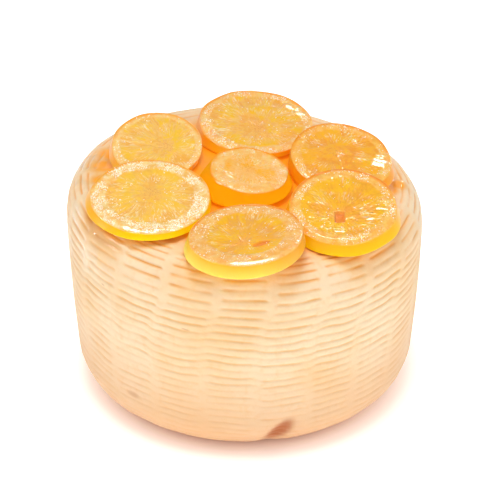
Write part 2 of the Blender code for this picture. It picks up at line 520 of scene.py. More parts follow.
        # Dried glaze: shallow dimples of about 1 mm, and finer grain on the pith.
        dimple = add_node(tree, "ShaderNodeTexNoise", {"Vector": place, "Scale": 900.0, "Detail": 2.0})
        uneven = add_node(tree, "ShaderNodeMapRange", {"Value": filled, "To Min": 1.0, "To Max": 0.25})
        dimple = add_node(tree, calc, {0: dimple.outputs["Fac"], 1: uneven}, operation="MULTIPLY")
        bump = add_node(tree, "ShaderNodeBump", {"Height": dimple, "Strength": 0.3, "Distance": 0.0003})
        for label, value in {
            "Base Color": colour,
            "Roughness": self.roughness,
            "IOR": self.ior,
            "Specular IOR Level": self.gloss,
            "Subsurface Weight": self.glow,
            "Subsurface Radius": self.glow_spread,
            "Subsurface Scale": self.glow_reach,
            "Coat Weight": glaze,
            "Coat Roughness": self.glaze_roughness,
            # Painted glow: the faint orange emission.
            "Emission Color": linear(self.painted_glow_colour),
            "Emission Strength": self.painted_glow,
            "Normal": bump,
            "Coat Normal": bump,
        }.items():
            if isinstance(value, bpy.types.Node):
                output = next(o for o in value.outputs if o.enabled)
                tree.links.new(output, surface.inputs[label])
            else:
                surface.inputs[label].default_value = value
        return material


@dataclass(frozen=True)
class SugarCrystal:
    """Dried sugar: clear crystals grown on the glaze, whose broken faces scatter light and glint white."""

    ior: float = 1.54
    roughness: float = 0.15
    # A faint warm emission is a painted glow in the grains.
    painted_glow: float = 0.15
    painted_glow_colour: str = "#FFE2A8"

    def material(self) -> bpy.types.Material:
        """The finish as a material.

        Returns:
            The material.
        """
        material, tree, surface = new_material("dried_sugar_crystals")
        place = add_node(tree, "ShaderNodeTexCoord").outputs["Object"]
        cloud = add_node(tree, "ShaderNodeTexNoise", {"Vector": place, "Scale": 900.0, "Detail": 1.0})
        tint = add_node(
            tree,
            "ShaderNodeValToRGB",
            {"Fac": cloud.outputs["Fac"]},
            stops=[(0.35, "#FDEBC8"), (0.6, "#FFFBF2")],
        )
        tree.links.new(tint.outputs["Color"], surface.inputs["Base Color"])
        # Painted glow: a faint warm emission stands in for light that comes up through the fruit into the
        # clear grains.
        surface.inputs["Emission Color"].default_value = linear(self.painted_glow_colour)
        surface.inputs["Emission Strength"].default_value = self.painted_glow
        surface.inputs["Roughness"].default_value = self.roughness
        surface.inputs["IOR"].default_value = self.ior
        return material


@dataclass(frozen=True)
class CandiedSlice:
    """One slice of candied citrus, lying on the wheel as the CAD node of its name does.

    place is the middle of its upper face. tilt and downhill say how that face leans, cut how much more it
    slopes than the foot. core moves the meeting point of the segments off the middle, foot_shift moves the
    foot, and oval scales the slice across. pith is the pith's share of the radius, and recess how far the
    pulp lies below it. Syrup slopes off over the last run_off millimetres before the rim's round edge. rings
    counts the rings of points on the pulp, the pith, the run-off, the rim, the wall and the foot's edge.
    kept_rim says between which sines of the bearing the rim rises to its full height again.
    """

    name: str
    place: tuple[float, float, float]
    tilt: float
    downhill: float
    diameter: float
    thickness: float
    flare: float
    oval: float
    finish: CandiedCitrus
    cut: float = 0.0
    core: tuple[float, float] = (0.0, 0.0)
    foot_shift: tuple[float, float] = (0.0, 0.0)
    pith: float = 0.16
    segments: int = 10
    sugar: float = 0.5
    cuts: tuple[Cut, ...] = ()
    pools: tuple[Pool, ...] = ()
    round_over: float = 0.7
    foot_round: float = 0.7
    run_off: float = 1.6
    run_off_slope: float = 0.4
    run_off_bend: float = 1.15
    rim_wall_share: float = 0.1
    kept_rim: tuple[float, float] = (-0.45, 0.25)
    pulp_slope: float = 2.2
    recess: float = 0.25
    wobble: float = 0.006
    wobble_waves: tuple[int, ...] = (2, 3, 4, 5, 6, 7, 8)
    steps: int = 360
    rings: tuple[int, ...] = (52, 14, 5, 6, 12, 3)

    @property
    def radius(self) -> float:
        """Half the slice's width before it is made oval."""
        return self.diameter / 2

    def turn(self) -> Matrix:
        """The rotation and place of the slice as one matrix."""
        bearing = math.radians(self.downhill)
        tilt = math.radians(self.tilt)
        level = Vector((math.cos(bearing), math.sin(bearing), 0)) * math.sin(tilt)
        upward = level + Vector((0, 0, math.cos(tilt)))
        rotation = Vector((0, 0, 1)).rotation_difference(upward).to_matrix().to_4x4()
        return Matrix.Translation(Vector(self.place)) @ rotation

    def section(self) -> np.ndarray:
        """The half section from the upper face's middle to the foot's middle, without the two poles.

        Returns:
            One row a ring: radius, height, share of the pith crossed, share of the wall passed, and how far
            the run-off has sunk there.
        """
        radius = self.radius
        pulp = radius * (1 - self.pith)
        inner = pulp - self.pulp_slope / 2
        curve = self.round_over
        depth = self.thickness
        foot = radius + self.flare
        crest = radius - curve - self.run_off
        edge = -self.run_off * self.run_off_slope
        on_pulp, on_pith, on_run_off, on_rim, on_wall, on_foot = self.rings
        rows = []
        for reach in np.linspace(0, inner, on_pulp + 1)[1:]:
            rows.append((reach, -self.recess, (reach - pulp) / (radius - pulp), 0.0, 0.0))
        for reach in np.linspace(inner, crest, on_pith + 1)[1:]:
            share = min(1.0, (reach - inner) / self.pulp_slope)
            rise = -self.recess * (1 - share * share * (3 - 2 * share))
            rows.append((reach, rise, (reach - pulp) / (radius - pulp), 0.0, 0.0))
        for share in np.linspace(0, 1, on_run_off + 1)[1:]:
            reach = crest + self.run_off * share
            sunk = edge * share**self.run_off_bend
            rows.append((reach, sunk, (reach - pulp) / (radius - pulp), 0.0, sunk))
        for share in np.linspace(0, 1, on_rim + 1)[1:]:
            bend = share * math.pi / 2
            reach = radius - curve + curve * math.sin(bend)
            height = edge - curve * (1 - math.cos(bend))
            sunk = edge - curve / 2 * (1 - math.cos(bend))
            rows.append((reach, height, (reach - pulp) / (radius - pulp), self.rim_wall_share * share, sunk))
        for share in np.linspace(0, 1, on_wall + 1)[1:]:
            height = edge - curve - (depth + edge - curve - self.foot_round) * share
            sunk = (edge - curve / 2) * (1 - share)
            passed = self.rim_wall_share + (1 - self.rim_wall_share) * share
            rows.append((radius + (foot - radius) * share, height, 1.0, passed, sunk))
        for share in np.linspace(0, 1, on_foot + 1)[1:]:
            bend = share * math.pi / 2
            reach = foot - self.foot_round * (1 - math.cos(bend))
            rows.append((reach, -depth + self.foot_round * (1 - math.sin(bend)), 1.0, 1.0, 0.0))
        for reach in (0.75 * foot, 0.4 * foot):
            rows.append((reach, -depth, 1.0, 1.0, 0.0))
        return np.array(rows)

    def opened(self, flat: np.ndarray) -> tuple[np.ndarray, np.ndarray]:
        """How deep the slits and holes go at places on the upper face.

        Args:
            flat: The places in the slice's own plane.

        Returns:
            The depth at each place, and how much of it is wall or floor of an opening.
        """
        depth = np.zeros(len(flat))
        share = np.zeros(len(flat))
        for cut in self.cuts:
            start = np.array(cut.start)
            run = np.array(cut.end) - start
            along = np.clip(((flat - start) @ run) / max(run @ run, TINY), 0, 1)
            away = flat - start - along[:, None] * run
            # A slit narrows to a quarter of its width at its ends, and every lip is rounded.
            if cut.square:
                reach = np.abs(away).max(1)
                half = cut.width / 2 * np.ones(len(flat))
            else:
                reach = np.linalg.norm(away, axis=1)
                half = cut.width / 2 * (0.25 + 0.75 * np.sin(math.pi * along) ** 0.7)
            inside = smooth(reach / half, 1.25, 0.75)
            depth = np.maximum(depth, cut.depth * inside)
            share = np.maximum(share, inside)
        return depth, share

    def pooled(self, flat: np.ndarray) -> tuple[np.ndarray, np.ndarray]:
        """How high the dried syrup stands at places on the upper face.

        Args:
            flat: The places in the slice's own plane.

        Returns:
            The height at each place, and how much of the face's own relief the syrup fills.
        """
        height = np.zeros(len(flat))
        share = np.zeros(len(flat))
        for pool in self.pools:
            start = np.array(pool.start)
            run = np.array(pool.end) - start
            along = np.clip(((flat - start) @ run) / max(run @ run, TINY), 0, 1)
            away = np.linalg.norm(flat - start - along[:, None] * run, axis=1) / (pool.width / 2)
            height = np.maximum(height, pool.rise * np.clip(1 - away, 0, None))
            share = np.maximum(share, smooth(away, 1.0, 0.8))
        return height, share

    def blank(self) -> bpy.types.Object:
        """The slice before its relief, with the attributes that the relief and the finish read.

        Returns:
            The object, in place on the wheel.
        """
        rng = np.random.default_rng(int(self.finish.seed * 100))
        rows = self.section()
        turns = np.arange(self.steps) * 2 * math.pi / self.steps
        reach, height, ring, wall, sunk = (np.repeat(column, self.steps) for column in rows.T)
        angle = np.tile(turns, len(rows))
        # Syrup ran off towards the front, so the rim at the back has kept its height.
        height = height - sunk * smooth(np.sin(angle), *self.kept_rim)
        uneven = 1 + self.wobble * np.tile(ripple(turns, self.wobble_waves, rng), len(rows))
        flat = np.stack([np.cos(angle), np.sin(angle)], 1) * (reach * uneven)[:, None]
        flat = np.vstack([[0, 0], flat, [0, 0]])
        height = np.concatenate([[-self.recess], height, [-self.thickness]])
        angle = np.concatenate([[0], angle, [0]])
        reach = np.concatenate([[0], reach, [0]])
        deep_in_pulp = -5
        ring = np.concatenate([[deep_in_pulp], ring, [1]])
        wall = np.concatenate([[0], wall, [1]])

        pulp_edge = self.radius * (1 - self.pith)
        down = np.clip(-height / self.thickness, 0, 1)
        # The core's shift moves the upper face's middle most and leaves the foot as it is.
        inner = np.clip(1 - reach / pulp_edge, 0, 1) * (down < 0.6)
        flat = flat + np.array(self.core) * inner[:, None] + np.array(self.foot_shift) * down[:, None]
        flat[:, 1] *= self.oval
        on_top = smooth(down, 0.5, 0.2) * (wall <= 0)
        depth, opened = self.opened(flat)
        bearing = math.radians(self.downhill)
        fall = math.tan(math.radians(self.cut)) * (flat @ np.array([math.cos(bearing), math.sin(bearing)]))
        pool, filled = self.pooled(flat)
        height = height - (1 - down) * fall - depth * on_top + pool * on_top
        points = np.column_stack([flat, height, np.ones(len(flat))]) @ np.array(self.turn()).T
        crest = self.radius - self.round_over - self.run_off
        kept = {
            "spoke": np.column_stack([np.cos(angle), np.sin(angle), reach / pulp_edge]),
            "share": ring,
            "wall": wall,
            "well": opened * on_top,
            "top": on_top,
            "pool": filled,
            "rim": smooth(reach, crest, self.radius - self.round_over),
        }
        return new_mesh(self.name + "_blank", points[:, :3] * MM, lathe_faces(len(rows), self.steps), kept)

    def build(self) -> bpy.types.Object:
        """The finished slice.

        Returns:
            The piece, which replaces the CAD node.
        """
        finish = self.finish.material(self.name + "_candied")
        upward = self.turn().to_3x3() @ Vector((0, 0, 1))
        values = {
            "Upward": tuple(upward),
            "Segments": float(self.segments),
            "Segment reach": 2 * math.pi * self.radius * (1 - self.pith) / self.segments,
            "Seed": self.finish.seed,
            "Finish": finish,
        }
        piece = grow(self.blank(), pulp_relief(), values, self.name + "_glazed")
        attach(piece, BODY)
        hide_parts(self.name)
        return piece


def pulp_relief() -> bpy.types.NodeTree:
    """The tree that raises a slice's membranes and juice sacs, the same for every slice.

    Returns:
        The tree. It keeps membrane, sac and ring for the finish, and ring is also read by the crystals.
    """
    if "pulp_relief" in bpy.data.node_groups:
        return bpy.data.node_groups["pulp_relief"]
    tree, given = new_tree(
        "pulp_relief",
        {
            "Upward": ("NodeSocketVector", (0, 0, 1)),
            "Segments": ("NodeSocketFloat", 10.0),
            "Segment reach": ("NodeSocketFloat", 12.0),
            "Membrane width": ("NodeSocketFloat", 0.55),
            "Membrane rise": ("NodeSocketFloat", 0.00012),
            "Sac height": ("NodeSocketFloat", 0.0001),
            "Pith roughness": ("NodeSocketFloat", 0.0003),
            "Wide swell": ("NodeSocketFloat", 0.0012),
            "Seed": ("NodeSocketFloat", 1.0),
            "Finish": ("NodeSocketMaterial", None),
        },
    )
    read = "GeometryNodeInputNamedAttribute"
    calc = "ShaderNodeMath"
    spoke = add_node(tree, read, {"Name": "spoke"}, data_type="FLOAT_VECTOR").outputs["Attribute"]
    share, top, pool = (
        add_node(tree, read, {"Name": label}, data_type="FLOAT").outputs["Attribute"]
        for label in ("share", "top", "pool")
    )
    place = add_node(tree, "GeometryNodeInputPosition")
    parts = add_node(tree, "ShaderNodeSeparateXYZ", {0: spoke})

    # The pulp's edge wanders by about a fifth of the pith's width.
    edge_noise = add_node(tree, "ShaderNodeTexNoise", {"Vector": place, "Scale": 220.0, "Detail": 2.0})
    edge_shift = add_node(tree, calc, {0: edge_noise, 1: -0.5}, operation="ADD")
    wandered = add_node(tree, calc, {0: edge_shift, 1: 0.6, 2: share}, operation="MULTIPLY_ADD")
    ring = add_node(
        tree,
        "ShaderNodeMapRange",
        {"Value": wandered, "From Min": -0.12, "From Max": 0.12},
        interpolation_type="SMOOTHSTEP",
    )
    pulp = add_node(tree, calc, {0: 1.0, 1: ring}, operation="SUBTRACT")
    pulp = add_node(tree, calc, {0: pulp, 1: top}, operation="MULTIPLY")

    # Membranes lie between the segments, uneven in spacing, and keep their width as they run outwards.
    warp = add_node(tree, "ShaderNodeTexNoise", {"Vector": place, "Scale": 180.0, "Detail": 2.0})
    warp = add_node(
        tree, "ShaderNodeVectorMath", {0: warp.outputs["Color"], 1: (0.5, 0.5, 0.5)}, operation="SUBTRACT"
    )
    warp = add_node(tree, "ShaderNodeVectorMath", {0: warp, 1: (0.5, 0.5, 0.3)}, operation="MULTIPLY")
    spoke = add_node(tree, "ShaderNodeVectorMath", {0: spoke, 1: warp}, operation="ADD")
    angle = add_node(tree, calc, {0: parts.outputs["Y"], 1: parts.outputs["X"]}, operation="ARCTAN2")
    around = add_node(tree, calc, {0: angle, 1: 1 / (2 * math.pi)}, operation="MULTIPLY")
    count = add_node(tree, calc, {0: around, 1: given.outputs["Segments"]}, operation="MULTIPLY")
    drift_place = add_node(
        tree, "ShaderNodeVectorMath", {0: spoke, 1: given.outputs["Seed"]}, operation="ADD"
    )
    drift = add_node(tree, "ShaderNodeTexNoise", {"Vector": drift_place, "Scale": 1.7, "Detail": 1.0})
    count = add_node(tree, calc, {0: drift, 1: 1.6, 2: count}, operation="MULTIPLY_ADD")
    cell = add_node(tree, calc, {0: count}, operation="FRACT")
    off = add_node(tree, calc, {0: cell, 1: 0.5}, operation="SUBTRACT")
    off = add_node(tree, calc, {0: off}, operation="ABSOLUTE")
    off = add_node(tree, calc, {0: off, 1: given.outputs["Segment reach"]}, operation="MULTIPLY")
    off = add_node(tree, calc, {0: off, 1: parts.outputs["Z"]}, operation="MULTIPLY")
    membrane = add_node(
        tree,
        "ShaderNodeMapRange",
        {"Value": off, "From Min": given.outputs["Membrane width"], "From Max": 0.1, "To Max": 1.0},
        interpolation_type="SMOOTHSTEP",
    )
    patchy = add_node(tree, "ShaderNodeTexNoise", {"Vector": place, "Scale": 160.0, "Detail": 1.0})
    patchy = add_node(tree, "ShaderNodeMapRange", {"Value": patchy, "From Min": 0.42, "From Max": 0.6})
    membrane = add_node(tree, calc, {0: membrane, 1: patchy}, operation="MULTIPLY")
    membrane = add_node(tree, calc, {0: membrane, 1: pulp}, operation="MULTIPLY")

    # Sacs: long cells that point at the core.
    stretched = add_node(
        tree, "ShaderNodeVectorMath", {0: drift_place, 1: (8.0, 8.0, 3.0)}, operation="MULTIPLY"
    )
    cells = add_node(
        tree,
        "ShaderNodeTexVoronoi",
        {"Vector": stretched, "Scale": 1.6, "Smoothness": 0.4},
        feature="SMOOTH_F1",
    )
    swell = add_node(
        tree,
        "ShaderNodeMapRange",
        {"Value": cells.outputs["Distance"], "From Min": 0.7, "From Max": 0.1},
        interpolation_type="SMOOTHSTEP",
    )
    fibre = add_node(tree, "ShaderNodeTexNoise", {"Vector": stretched, "Scale": 1.9, "Detail": 3.0})
    swell = add_node(tree, calc, {0: fibre, 1: 0.9, 2: swell}, operation="MULTIPLY_ADD")
    sac = add_node(tree, "ShaderNodeMapRange", {"Value": swell, "From Min": 0.75, "From Max": 1.3})
    sac = add_node(tree, calc, {0: sac, 1: pulp}, operation="MULTIPLY")

    # Heights: sacs and membranes on the pulp, a fine grain, and a swell some 9 mm wide over the whole face.
    away = add_node(
        tree, "ShaderNodeMapRange", {"Value": parts.outputs["Z"], "From Min": 0.05, "From Max": 0.4}
    )
    lift = add_node(tree, calc, {0: swell, 1: -0.75}, operation="ADD")
    lift = add_node(tree, calc, {0: lift, 1: away}, operation="MULTIPLY")
    lift = add_node(tree, calc, {0: lift, 1: given.outputs["Sac height"]}, operation="MULTIPLY")
    rise = add_node(tree, calc, {0: membrane, 1: given.outputs["Membrane rise"]}, operation="MULTIPLY")
    pulp_lift = add_node(tree, calc, {0: lift, 1: pulp, 2: rise}, operation="MULTIPLY_ADD")
    grain = add_node(tree, "ShaderNodeTexNoise", {"Vector": place, "Scale": 700.0, "Detail": 2.0})
    grain = add_node(tree, calc, {0: grain, 1: -0.5}, operation="ADD")
    grain = add_node(tree, calc, {0: grain, 1: given.outputs["Pith roughness"]}, operation="MULTIPLY")
    grain = add_node(tree, calc, {0: grain, 1: top}, operation="MULTIPLY")
    swell_wide = add_node(tree, "ShaderNodeTexNoise", {"Vector": place, "Scale": 110.0, "Detail": 1.0})
    swell_wide = add_node(tree, calc, {0: swell_wide, 1: -0.5}, operation="ADD")
    swell_wide = add_node(tree, calc, {0: swell_wide, 1: given.outputs["Wide swell"]}, operation="MULTIPLY")
    swell_wide = add_node(tree, calc, {0: swell_wide, 1: top}, operation="MULTIPLY")
    height = add_node(tree, calc, {0: pulp_lift, 1: grain}, operation="ADD")
    height = add_node(tree, calc, {0: height, 1: swell_wide}, operation="ADD")
    clear = add_node(tree, calc, {0: 1.0, 1: pool}, operation="SUBTRACT")
    height = add_node(tree, calc, {0: height, 1: clear}, operation="MULTIPLY")
    offset = add_node(
        tree, "ShaderNodeVectorMath", {0: given.outputs["Upward"], "Scale": height}, operation="SCALE"
    )
    shaped = given.outputs["Geometry"]
    for label, value in {"membrane": membrane, "sac": sac, "ring": ring}.items():
        shaped = add_node(
            tree, "GeometryNodeStoreNamedAttribute", {"Geometry": shaped, "Name": label, "Value": value}
        )
    shaped = add_node(tree, "GeometryNodeSetPosition", {"Geometry": shaped, "Offset": offset})
    whole = add_node(tree, "GeometryNodeRealizeInstances", {"Geometry": shaped})
    dressed = add_node(
        tree, "GeometryNodeSetMaterial", {"Geometry": whole, "Material": given.outputs["Finish"]}
    )
    add_node(tree, "NodeGroupOutput", {"Geometry": dressed})
    return tree


CITRUS_SLICES = (
    CandiedSlice(
        name="slice_back_left",
        place=(-38.2, 12.3, 107.8),
        tilt=4.3,
        downhill=-78,
        diameter=39.5,
        thickness=5.0,
        flare=0.2,
        oval=1.16,
        finish=CandiedCitrus(
            CitrusColours(
                ring="#FBD384", ring_deep="#F8C068", pulp="#F9C468", pulp_bright="#FBC638",
                pulp_deep="#F5B44C", skin="#EFA02C", side_top="#FBAE10", side_foot="#FDBE18",
            ),
            seed=1.3,
            juicy=-110.0,
            deep_side=170.0,
            dried=0.21,
        ),
        cut=5.0,
        core=(4.7, -1.5),
        foot_shift=(-1.6, -0.8),
        sugar=0.25,
    ),
    CandiedSlice(
        name="slice_back_mid",
        place=(5.1, 36.7, 106.0),
        tilt=1.6,
        downhill=-50,
        diameter=50.5,
        thickness=5.0,
        flare=0.2,
        oval=1.0,
        finish=CandiedCitrus(
            CitrusColours(
                ring="#FACB76", ring_deep="#F7B65C", pulp="#F8BE5E", pulp_bright="#FABE20",
                pulp_deep="#F3AC48", skin="#EC981E", side_top="#FAAC16", side_foot="#FDB81C",
            ),
            seed=2.6,
            juicy=-60.0,
            deep_side=150.0,
            dried=0.18,
        ),
        cut=4.5,
        core=(0.5, -4.5),
        foot_shift=(-2.0, -1.2),
        pith=0.18,
        pools=(Pool((13.5, 14.0), (18.5, 11.5), 4.0, 1.1), Pool((18.0, 8.2), (21.5, 7.4), 3.2, 0.85)),
        sugar=0.45,
    ),
    CandiedSlice(
        name="slice_back_right",
        place=(41.9, 4.4, 106.0),
        tilt=6.9,
        downhill=-60,
        diameter=44.2,
        thickness=6.5,
        flare=1.2,
        oval=1.01,
        finish=CandiedCitrus(
            CitrusColours(
                ring="#F9C05A", ring_deep="#F5AD40", pulp="#F6B034", pulp_bright="#FAB518",
                pulp_deep="#F1A030", skin="#EA9016", side_top="#F9A012", side_foot="#FBA814",
            ),
            seed=3.4,
            juicy=-100.0,
            deep_side=60.0,
        ),
        cut=6.5,
        core=(-2.2, 3.0),
        foot_shift=(0.4, -0.8),
        pith=0.2,
        pools=(Pool((14.5, -1.5), (18.8, -3.0), 6.0, 1.05), Pool((15.5, 2.4), (18.5, 1.8), 3.0, 0.53)),
        sugar=0.25,
    ),
    CandiedSlice(
        name="slice_centre",
        place=(2.1, -9.3, 107.5),
        tilt=0.0,
        downhill=-30,
        diameter=33.3,
        thickness=6.3,
        flare=4.0,
        oval=1.0,
        finish=CandiedCitrus(
            CitrusColours(
                ring="#FBC878", ring_deep="#F8B558", pulp="#F9BC68", pulp_bright="#F9AC2C",
                pulp_deep="#F7B65A", skin="#F0961C", side_top="#FAA00A", side_foot="#FCA60E",
            ),
            seed=4.9,
            juicy=180.0,
            deep_side=120.0,
            gloss=0.0,
        ),
        cut=9.1,
        foot_shift=(-2.5, -3.0),
        pith=0.34,
        sugar=0.05,
        pools=(
            Pool((9.6, 5.4), (12.6, 5.0), 2.2, 0.76),
            Pool((12.8, 1.4), (14.8, 1.0), 2.0, 0.7),
            Pool((12.8, -3.0), (15.0, -2.6), 2.2, 0.68),
            Pool((8.8, -9.4), (11.4, -9.2), 2.2, 0.76),
            Pool((7.0, -4.0), (9.6, -3.6), 2.2, 0.68),
            Pool((4.6, -8.0), (7.0, -7.6), 2.2, 0.72),
        ),
    ),
    CandiedSlice(
        name="slice_front_left",
        place=(-40.0, -31.5, 107.2),
        tilt=6.3,
        downhill=-79,
        diameter=50.6,
        thickness=4.5,
        flare=1.3,
        oval=0.97,
        finish=CandiedCitrus(
            CitrusColours(
                ring="#FBDB98", ring_deep="#F6BE60", pulp="#F9C45E", pulp_bright="#FCC640",
                pulp_deep="#F5B450", skin="#F0A020", side_top="#FECA00", side_foot="#FFDA10",
            ),
            seed=5.2,
            deep_side=175.0,
            frosting=0.7,
            dried=0.22,
        ),
        cut=3.0,
        core=(0.5, 3.0),
        foot_shift=(-0.9, -0.2),
        pith=0.26,
        sugar=1.0,
    ),
    CandiedSlice(
        name="slice_front_right",
        place=(41.3, -38.2, 106.3),
        tilt=11.0,
        downhill=-94,
        diameter=45.4,
        thickness=7.0,
        flare=1.8,
        oval=1.01,
        finish=CandiedCitrus(
            CitrusColours(
                ring="#FBC764", ring_deep="#F6B148", pulp="#F6B22A", pulp_bright="#FBBC18",
                pulp_deep="#F0A42C", skin="#EA8610", side_top="#FCB800", side_foot="#FFCA04",
            ),
            seed=6.7,
            juicy=170.0,
            deep_side=60.0,
            frosting=0.25,
        ),
        cut=2.0,
        core=(-1.6, -6.6),
        pith=0.22,
        sugar=0.5,
        run_off_slope=0.65,
        cuts=(Cut((-1.6, -8.0), (-1.6, -5.6), 3.9, 1.7, square=True),),
        pools=(
            Pool((-3.8, -15.0), (0.0, -15.4), 2.4, 0.34),
            Pool((14.5, -1.2), (18.3, -2.2), 3.2, 0.45),
            Pool((15.0, 3.0), (18.0, 2.6), 2.0, 0.28),
            Pool((10.0, -8.0), (12.5, -7.6), 2.4, 0.34),
        ),
    ),
    CandiedSlice(
        name="slice_front_mid",
        place=(0.5, -61.4, 106.6),
        tilt=4.5,
        downhill=-154,
        diameter=47.6,
        thickness=6.2,
        flare=1.5,
        oval=0.96,
        finish=CandiedCitrus(
            CitrusColours(
                ring="#FBC470", ring_deep="#F6B052", pulp="#F6B026", pulp_bright="#FBBC1C",
                pulp_deep="#F1AA42", skin="#EE8E10", side_top="#FDC030", side_foot="#FFE262",
            ),
            seed=7.1,
            juicy=-70.0,
            deep_side=10.0,
        ),
        core=(-0.7, -7.0),
        foot_shift=(-1.0, -0.6),
        pith=0.3,
        sugar=0.25,
        cuts=(Cut((2.6, -9.7), (9.6, -6.0), 2.8, 1.2),),
        pools=(
            Pool((-14.3, -16.4), (-7.6, -20.1), 3.6, 0.0),
            Pool((-7.6, -20.1), (0.0, -21.4), 3.8, 0.0),
            Pool((0.0, -21.4), (7.6, -20.1), 3.8, 0.0),
            Pool((7.6, -20.1), (11.1, -18.5), 3.6, 0.0),
        ),
        run_off_slope=0.42,
    ),
)


# Sugar crystals on the slices


@dataclass(frozen=True)
class SugarBloom:
    """Sugar crystals scattered over the pith of the slices, and more thinly over the pulp."""

    crystal: float = 0.24
    per_square_metre: float = 3_200_000.0
    first_seed: int = 11
    finish: SugarCrystal = SugarCrystal()

    def tree(self) -> bpy.types.NodeTree:
        """The tree that scatters the crystals, with a fixed seed.

        Returns:
            The tree, whose result holds only the crystals.
        """
        if "sugar_bloom" in bpy.data.node_groups:
            return bpy.data.node_groups["sugar_bloom"]
        tree, given = new_tree(
            "sugar_bloom",
            {
                "Crystal radius": ("NodeSocketFloat", 0.0003),
                "Density": ("NodeSocketFloat", 1e6),
                "Seed": ("NodeSocketInt", 1),
                "Finish": ("NodeSocketMaterial", None),
            },
        )
        read = "GeometryNodeInputNamedAttribute"
        calc = "ShaderNodeMath"
        ring, top, pool, rim = (
            add_node(tree, read, {"Name": label}, data_type="FLOAT").outputs["Attribute"]
            for label in ("ring", "top", "pool", "rim")
        )
        place = add_node(tree, "GeometryNodeInputPosition")
        patch = add_node(tree, "ShaderNodeTexNoise", {"Vector": place, "Scale": 130.0, "Detail": 2.0})
        patch = add_node(tree, "ShaderNodeMapRange", {"Value": patch, "From Min": 0.42, "From Max": 0.62})
        where = add_node(tree, calc, {0: ring, 1: 0.93, 2: 0.07}, operation="MULTIPLY_ADD")
        where = add_node(tree, calc, {0: where, 1: patch}, operation="MULTIPLY")
        where = add_node(tree, calc, {0: where, 1: top}, operation="MULTIPLY")
        clear = add_node(tree, calc, {0: 1.0, 1: pool}, operation="SUBTRACT")
        where = add_node(tree, calc, {0: where, 1: clear}, operation="MULTIPLY")
        # The rims at the back stay clear, where the skin shows.
        spoke = add_node(tree, read, {"Name": "spoke"}, data_type="FLOAT_VECTOR").outputs["Attribute"]
        behind = add_node(tree, "ShaderNodeSeparateXYZ", {0: spoke}).outputs["Y"]
        behind = add_node(tree, "ShaderNodeMapRange", {"Value": behind, "From Min": -0.1, "From Max": 0.3})
        bare = add_node(tree, calc, {0: rim, 1: behind}, operation="MULTIPLY")
        bare = add_node(tree, calc, {0: 1.0, 1: bare}, operation="SUBTRACT")
        where = add_node(tree, calc, {0: where, 1: bare}, operation="MULTIPLY")
        density = add_node(tree, calc, {0: where, 1: given.outputs["Density"]}, operation="MULTIPLY")
        points = add_node(
            tree,
            "GeometryNodeDistributePointsOnFaces",
            {"Mesh": given.outputs["Geometry"], "Density": density, "Seed": given.outputs["Seed"]},
            distribute_method="RANDOM",
        )
        shape = add_node(
            tree, "GeometryNodeMeshIcoSphere", {"Radius": given.outputs["Crystal radius"], "Subdivisions": 1}
        )
        size = add_node(
            tree,
            "FunctionNodeRandomValue",
            {2: 0.5, 3: 1.35, "Seed": given.outputs["Seed"]},
            data_type="FLOAT",
        )
        spin = add_node(
            tree,
            "FunctionNodeRandomValue",
            {0: (0, 0, 0), 1: (math.tau, math.tau, math.tau), "Seed": given.outputs["Seed"]},
            data_type="FLOAT_VECTOR",
        )
        grains = add_node(
            tree,
            "GeometryNodeInstanceOnPoints",
            {"Points": points, "Instance": shape, "Rotation": spin, "Scale": size},
        )
        whole = add_node(tree, "GeometryNodeRealizeInstances", {"Geometry": grains})
        dressed = add_node(
            tree, "GeometryNodeSetMaterial", {"Geometry": whole, "Material": given.outputs["Finish"]}
        )
        add_node(tree, "NodeGroupOutput", {"Geometry": dressed})
        return tree

    def build(self, slices: Iterable[tuple[CandiedSlice, bpy.types.Object]]) -> list[bpy.types.Object]:
        """Scatters crystals over each slice.

        Args:
            slices: Each slice with its finished piece.

        Returns:
            The pieces of crystals, one for each slice.
        """
        finish = self.finish.material()
        pieces = []
        for number, (citrus, made) in enumerate(slices):
            base = made.copy()
            base.parent = None
            bpy.context.scene.collection.objects.link(base)
            values = {
                "Crystal radius": self.crystal * MM,
                "Density": self.per_square_metre * citrus.sugar,
                "Seed": self.first_seed + number,
                "Finish": finish,
            }
            piece = grow(base, self.tree(), values, citrus.name.replace("slice", "sugar"))
            for polygon in piece.data.polygons:
                polygon.use_smooth = False
            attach(piece, BODY)
            pieces.append(piece)
        return pieces


# Cheese wheel


